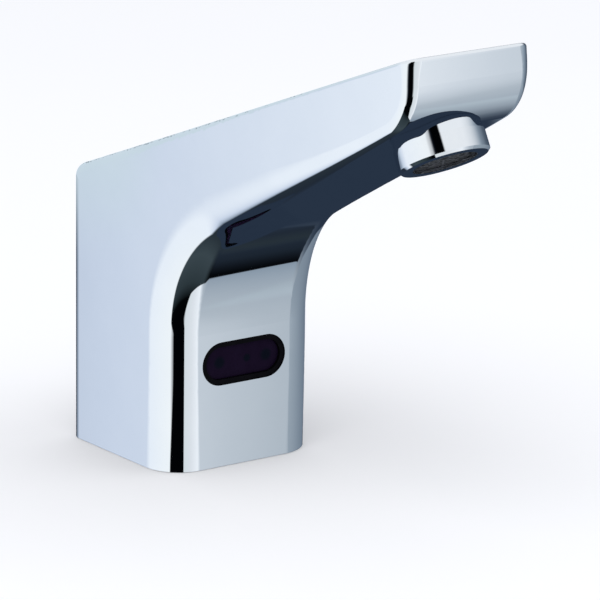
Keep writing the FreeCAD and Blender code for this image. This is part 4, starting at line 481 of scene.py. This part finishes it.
# Tones of the walls for azimuths in degrees, from -Y towards +X.
WALLS = [
    (-180, (56, 70, 88)), (-156, (150, 164, 182)), (-143, (206, 218, 236)),
    (-126, (238, 246, 255)), (-62, (246, 252, 255)), (-52, (26, 32, 42)), (-46, (2, 3, 5)),
    (-28, (2, 3, 5)), (-22, (218, 227, 231)), (0, (226, 232, 238)), (24, (242, 248, 254)),
    (31, (208, 217, 226)), (38.5, (178, 189, 199)), (66, (142, 157, 172)), (96, (84, 97, 112)),
    (130, (52, 64, 82)), (180, (56, 70, 88))]

# Where tones fade into each other: in degrees on the walls, and along X or Y or across a border on
# the bottom's plan.
BOTTOM_RISE, SKY_RISE = (-12, -15.5), (20, 40)
OUTLINE_RISE, OUTLINE_LEFT, OUTLINE_RIGHT = (-14, -7), (-140, -143), (141, 146)
WEDGE_LEFT, WEDGE_RIGHT, WEDGE_TOP = (-55, -49), (-30, -25), (38, 46)
DEEP_X, DEEP_Y = (0.30, 0.60), (0.1, 0.3)
TIP_X, TIP_Y = (0.80, 0.87), (-1.1, -0.8)
FRONT_FADE, LEFT_FADE, CORNER_FADE = (-0.02, 0.03), (-0.06, 0.05), (-0.03, 0.05)

# Borders on the bottom's plan, as points (x, y), and tones there along Y.
FRONT_BORDER = [(-1.45, -3.6), (-0.78, -1.92), (-0.71, -1.42), (-0.21, -0.78), (0.50, -0.46),
                (0.64, -0.30), (0.84, -0.24), (0.84, 3.6)]
LEFT_BORDER = [(-3.9, -3.0), (-2.8, -2.1), (-2.13, -1.56), (-1.92, -1.0), (-1.06, -0.35),
               (-0.21, 0.22), (-0.15, 0.45), (-0.25, 0.6), (-0.25, 3.6)]
CORNER_BORDER = [(2.9, -3.6), (1.95, -2.3), (1.6, -1.56), (1.15, -0.7), (1.07, 0.0), (1.38, 0.9),
                 (1.62, 1.3), (2.0, 2.0), (2.9, 3.6)]
DARK_TONES = [(-1.2, (2, 3, 5)), (-0.85, (4, 6, 8)), (-0.55, (46, 57, 62)), (-0.1, (60, 72, 78)),
              (0.2, (42, 52, 59)), (0.5, (34, 43, 55)), (0.9, NAVY)]
DEEP_TONES = [(-0.26, (5, 7, 10)), (-0.16, (16, 21, 28)), (0.0, (29, 38, 49)), (0.2, (34, 44, 57))]
TIP_TONES = [(-1.0, (182, 196, 206)), (-0.4, (150, 162, 174)), (0.1, (90, 102, 116)),
             (0.4, (60, 71, 86)), (0.9, NAVY)]
CORNER_TONES = [(-2.0, (158, 171, 183)), (0.0, (130, 144, 158)), (1.4, (112, 126, 142))]


def azimuth(angle):
    """Share of the way around, for degrees from -Y towards +X."""
    return angle / 360.0 + 0.5


def rise(angle):
    """Share of the way from the bottom to the top, for degrees above the horizon."""
    return angle / 180.0 + 0.5


def tent_paint(tree):
    """The tent's colour. Its walls are painted by azimuth, and its bottom by where a line from the
    middle meets a level plane one unit below. What the tap reflects twice is kept dark."""
    split = add(tree, "ShaderNodeSeparateXYZ", Vector=object_place(tree))
    x, y, z = split.outputs

    def do(operation, *operands):
        return calculate(tree, operation, *operands)

    turn = do("ARCTAN2", x, do("MULTIPLY", y, -1.0))
    around = do("ADD", do("DIVIDE", turn, 2 * math.pi), 0.5)
    tilt = do("ARCSINE", do("DIVIDE", z, TENT_RADIUS))
    height = do("ADD", do("DIVIDE", tilt, math.pi), 0.5)
    depth = do("MAXIMUM", do("MULTIPLY", z, -1.0), SHALLOWEST * TENT_RADIUS)
    plan_x, plan_y = do("DIVIDE", x, depth), do("DIVIDE", y, depth)
    along = fade(tree, plan_y, -PLAN_Y, PLAN_Y, "LINEAR")

    def over_plan(stops):
        """A ramp along the plan's Y; each stop is a place and a colour."""
        return ramp(tree, along, [((place + PLAN_Y) / (2 * PLAN_Y), colour)
                                  for place, colour in stops])

    def tones(stops):
        return over_plan([(place, srgb(*tone)) for place, tone in stops])

    def past(border):
        """How far to the right of a border on the plan."""
        line = over_plan([(place, ((side + PLAN_X) / (2 * PLAN_X),) * 3)
                          for side, place in border])
        return do("SUBTRACT", plan_x, do("SUBTRACT", do("MULTIPLY", line, 2 * PLAN_X), PLAN_X))

    def turned(angles):
        return fade(tree, around, *map(azimuth, angles))

    def raised(angles):
        return fade(tree, height, *map(rise, angles))

    walls = ramp(tree, around, [(azimuth(angle), srgb(*tone)) for angle, tone in WALLS])

    # The bottom: dark below the spout, lighter past the front, to the left and at the corner.
    deep = do("MULTIPLY", fade(tree, plan_x, *DEEP_X),
              opposite(tree, fade(tree, plan_y, *DEEP_Y)))
    dark = blend(tree, deep, tones(DARK_TONES), tones(DEEP_TONES))
    tip = do("MULTIPLY", fade(tree, plan_x, *TIP_X), fade(tree, plan_y, *TIP_Y))
    light = blend(tree, tip, walls, tones(TIP_TONES))
    low = blend(tree, fade(tree, past(FRONT_BORDER), *FRONT_FADE), dark, light)
    low = blend(tree, fade(tree, past(LEFT_BORDER), *LEFT_FADE), walls, low)
    low = blend(tree, fade(tree, past(CORNER_BORDER), *CORNER_FADE), low, tones(CORNER_TONES))
    colour = blend(tree, raised(BOTTOM_RISE), walls, low)

    # Behind, where the edges of the outline look.
    edges = do("MAXIMUM", turned(OUTLINE_LEFT), turned(OUTLINE_RIGHT))
    colour = blend(tree, do("MULTIPLY", raised(OUTLINE_RISE), edges), colour,
                   srgb(*OUTLINE_GLOW))

    # The sky, which leaves out the black wedge at the front left.
    wedge = do("MULTIPLY", turned(WEDGE_LEFT), opposite(tree, turned(WEDGE_RIGHT)))
    no_sky = do("MULTIPLY", wedge, opposite(tree, raised(WEDGE_TOP)))
    sky = do("MULTIPLY", raised(SKY_RISE), opposite(tree, no_sky))
    colour = blend(tree, sky, colour, srgb(*SKY))

    path = tree.nodes.new("ShaderNodeLightPath")
    twice = do("GREATER_THAN", path.outputs["Ray Depth"], TWICE)
    return blend(tree, twice, colour, srgb(*NAVY))


def tent():
    """A painted light tent around the tap, which only reflections see."""
    mesh = bpy.data.meshes.new("tent")
    maker = bmesh.new()
    bmesh.ops.create_uvsphere(maker, u_segments=96, v_segments=48, radius=TENT_RADIUS)
    maker.to_mesh(mesh)
    maker.free()
    for face in mesh.polygons:
        face.use_smooth = True
    ball = bpy.data.objects.new("tent", mesh)
    ball.location = TENT_CENTRE
    scene.collection.objects.link(ball)
    material, tree = new_material("tent")
    glow = add(tree, "ShaderNodeEmission", Color=tent_paint(tree))
    finish_shader(tree, glow.outputs[0])
    mesh.materials.append(material)
    for ray in ("camera", "diffuse", "transmission", "shadow", "volume_scatter"):
        setattr(ball, f"visible_{ray}", False)


# ---------------------------------------------------------------- lights

LAMP_SIZE = 1.2
LAMP_AIM = (0.0, -0.04, 0.05)
WORLD_COLOUR, WORLD_STRENGTH = (0.93, 0.95, 1.0, 1.0), 0.75


def lamp(name, place, power):
    """A square area light for the floor and the matt pieces, which the chrome doesn't mirror."""
    data = bpy.data.lights.new(name, "AREA")
    data.shape = "RECTANGLE"
    data.size = data.size_y = LAMP_SIZE
    data.energy = power
    piece = bpy.data.objects.new(name, data)
    piece.location = place
    piece.rotation_euler = (Vector(LAMP_AIM) - Vector(place)).to_track_quat("-Z", "Y").to_euler()
    piece.visible_glossy = False
    scene.collection.objects.link(piece)


floor_piece()
tent()
lamp("key", (-0.9, -0.7, 1.5), 9.0)
lamp("fill", (1.1, -0.8, 1.2), 4.0)

world = bpy.data.worlds.new("studio")
scene.world = world
world.use_nodes = True
background = world.node_tree.nodes["Background"]
background.inputs["Color"].default_value = WORLD_COLOUR
background.inputs["Strength"].default_value = WORLD_STRENGTH

scene.view_settings.view_transform = "Standard"
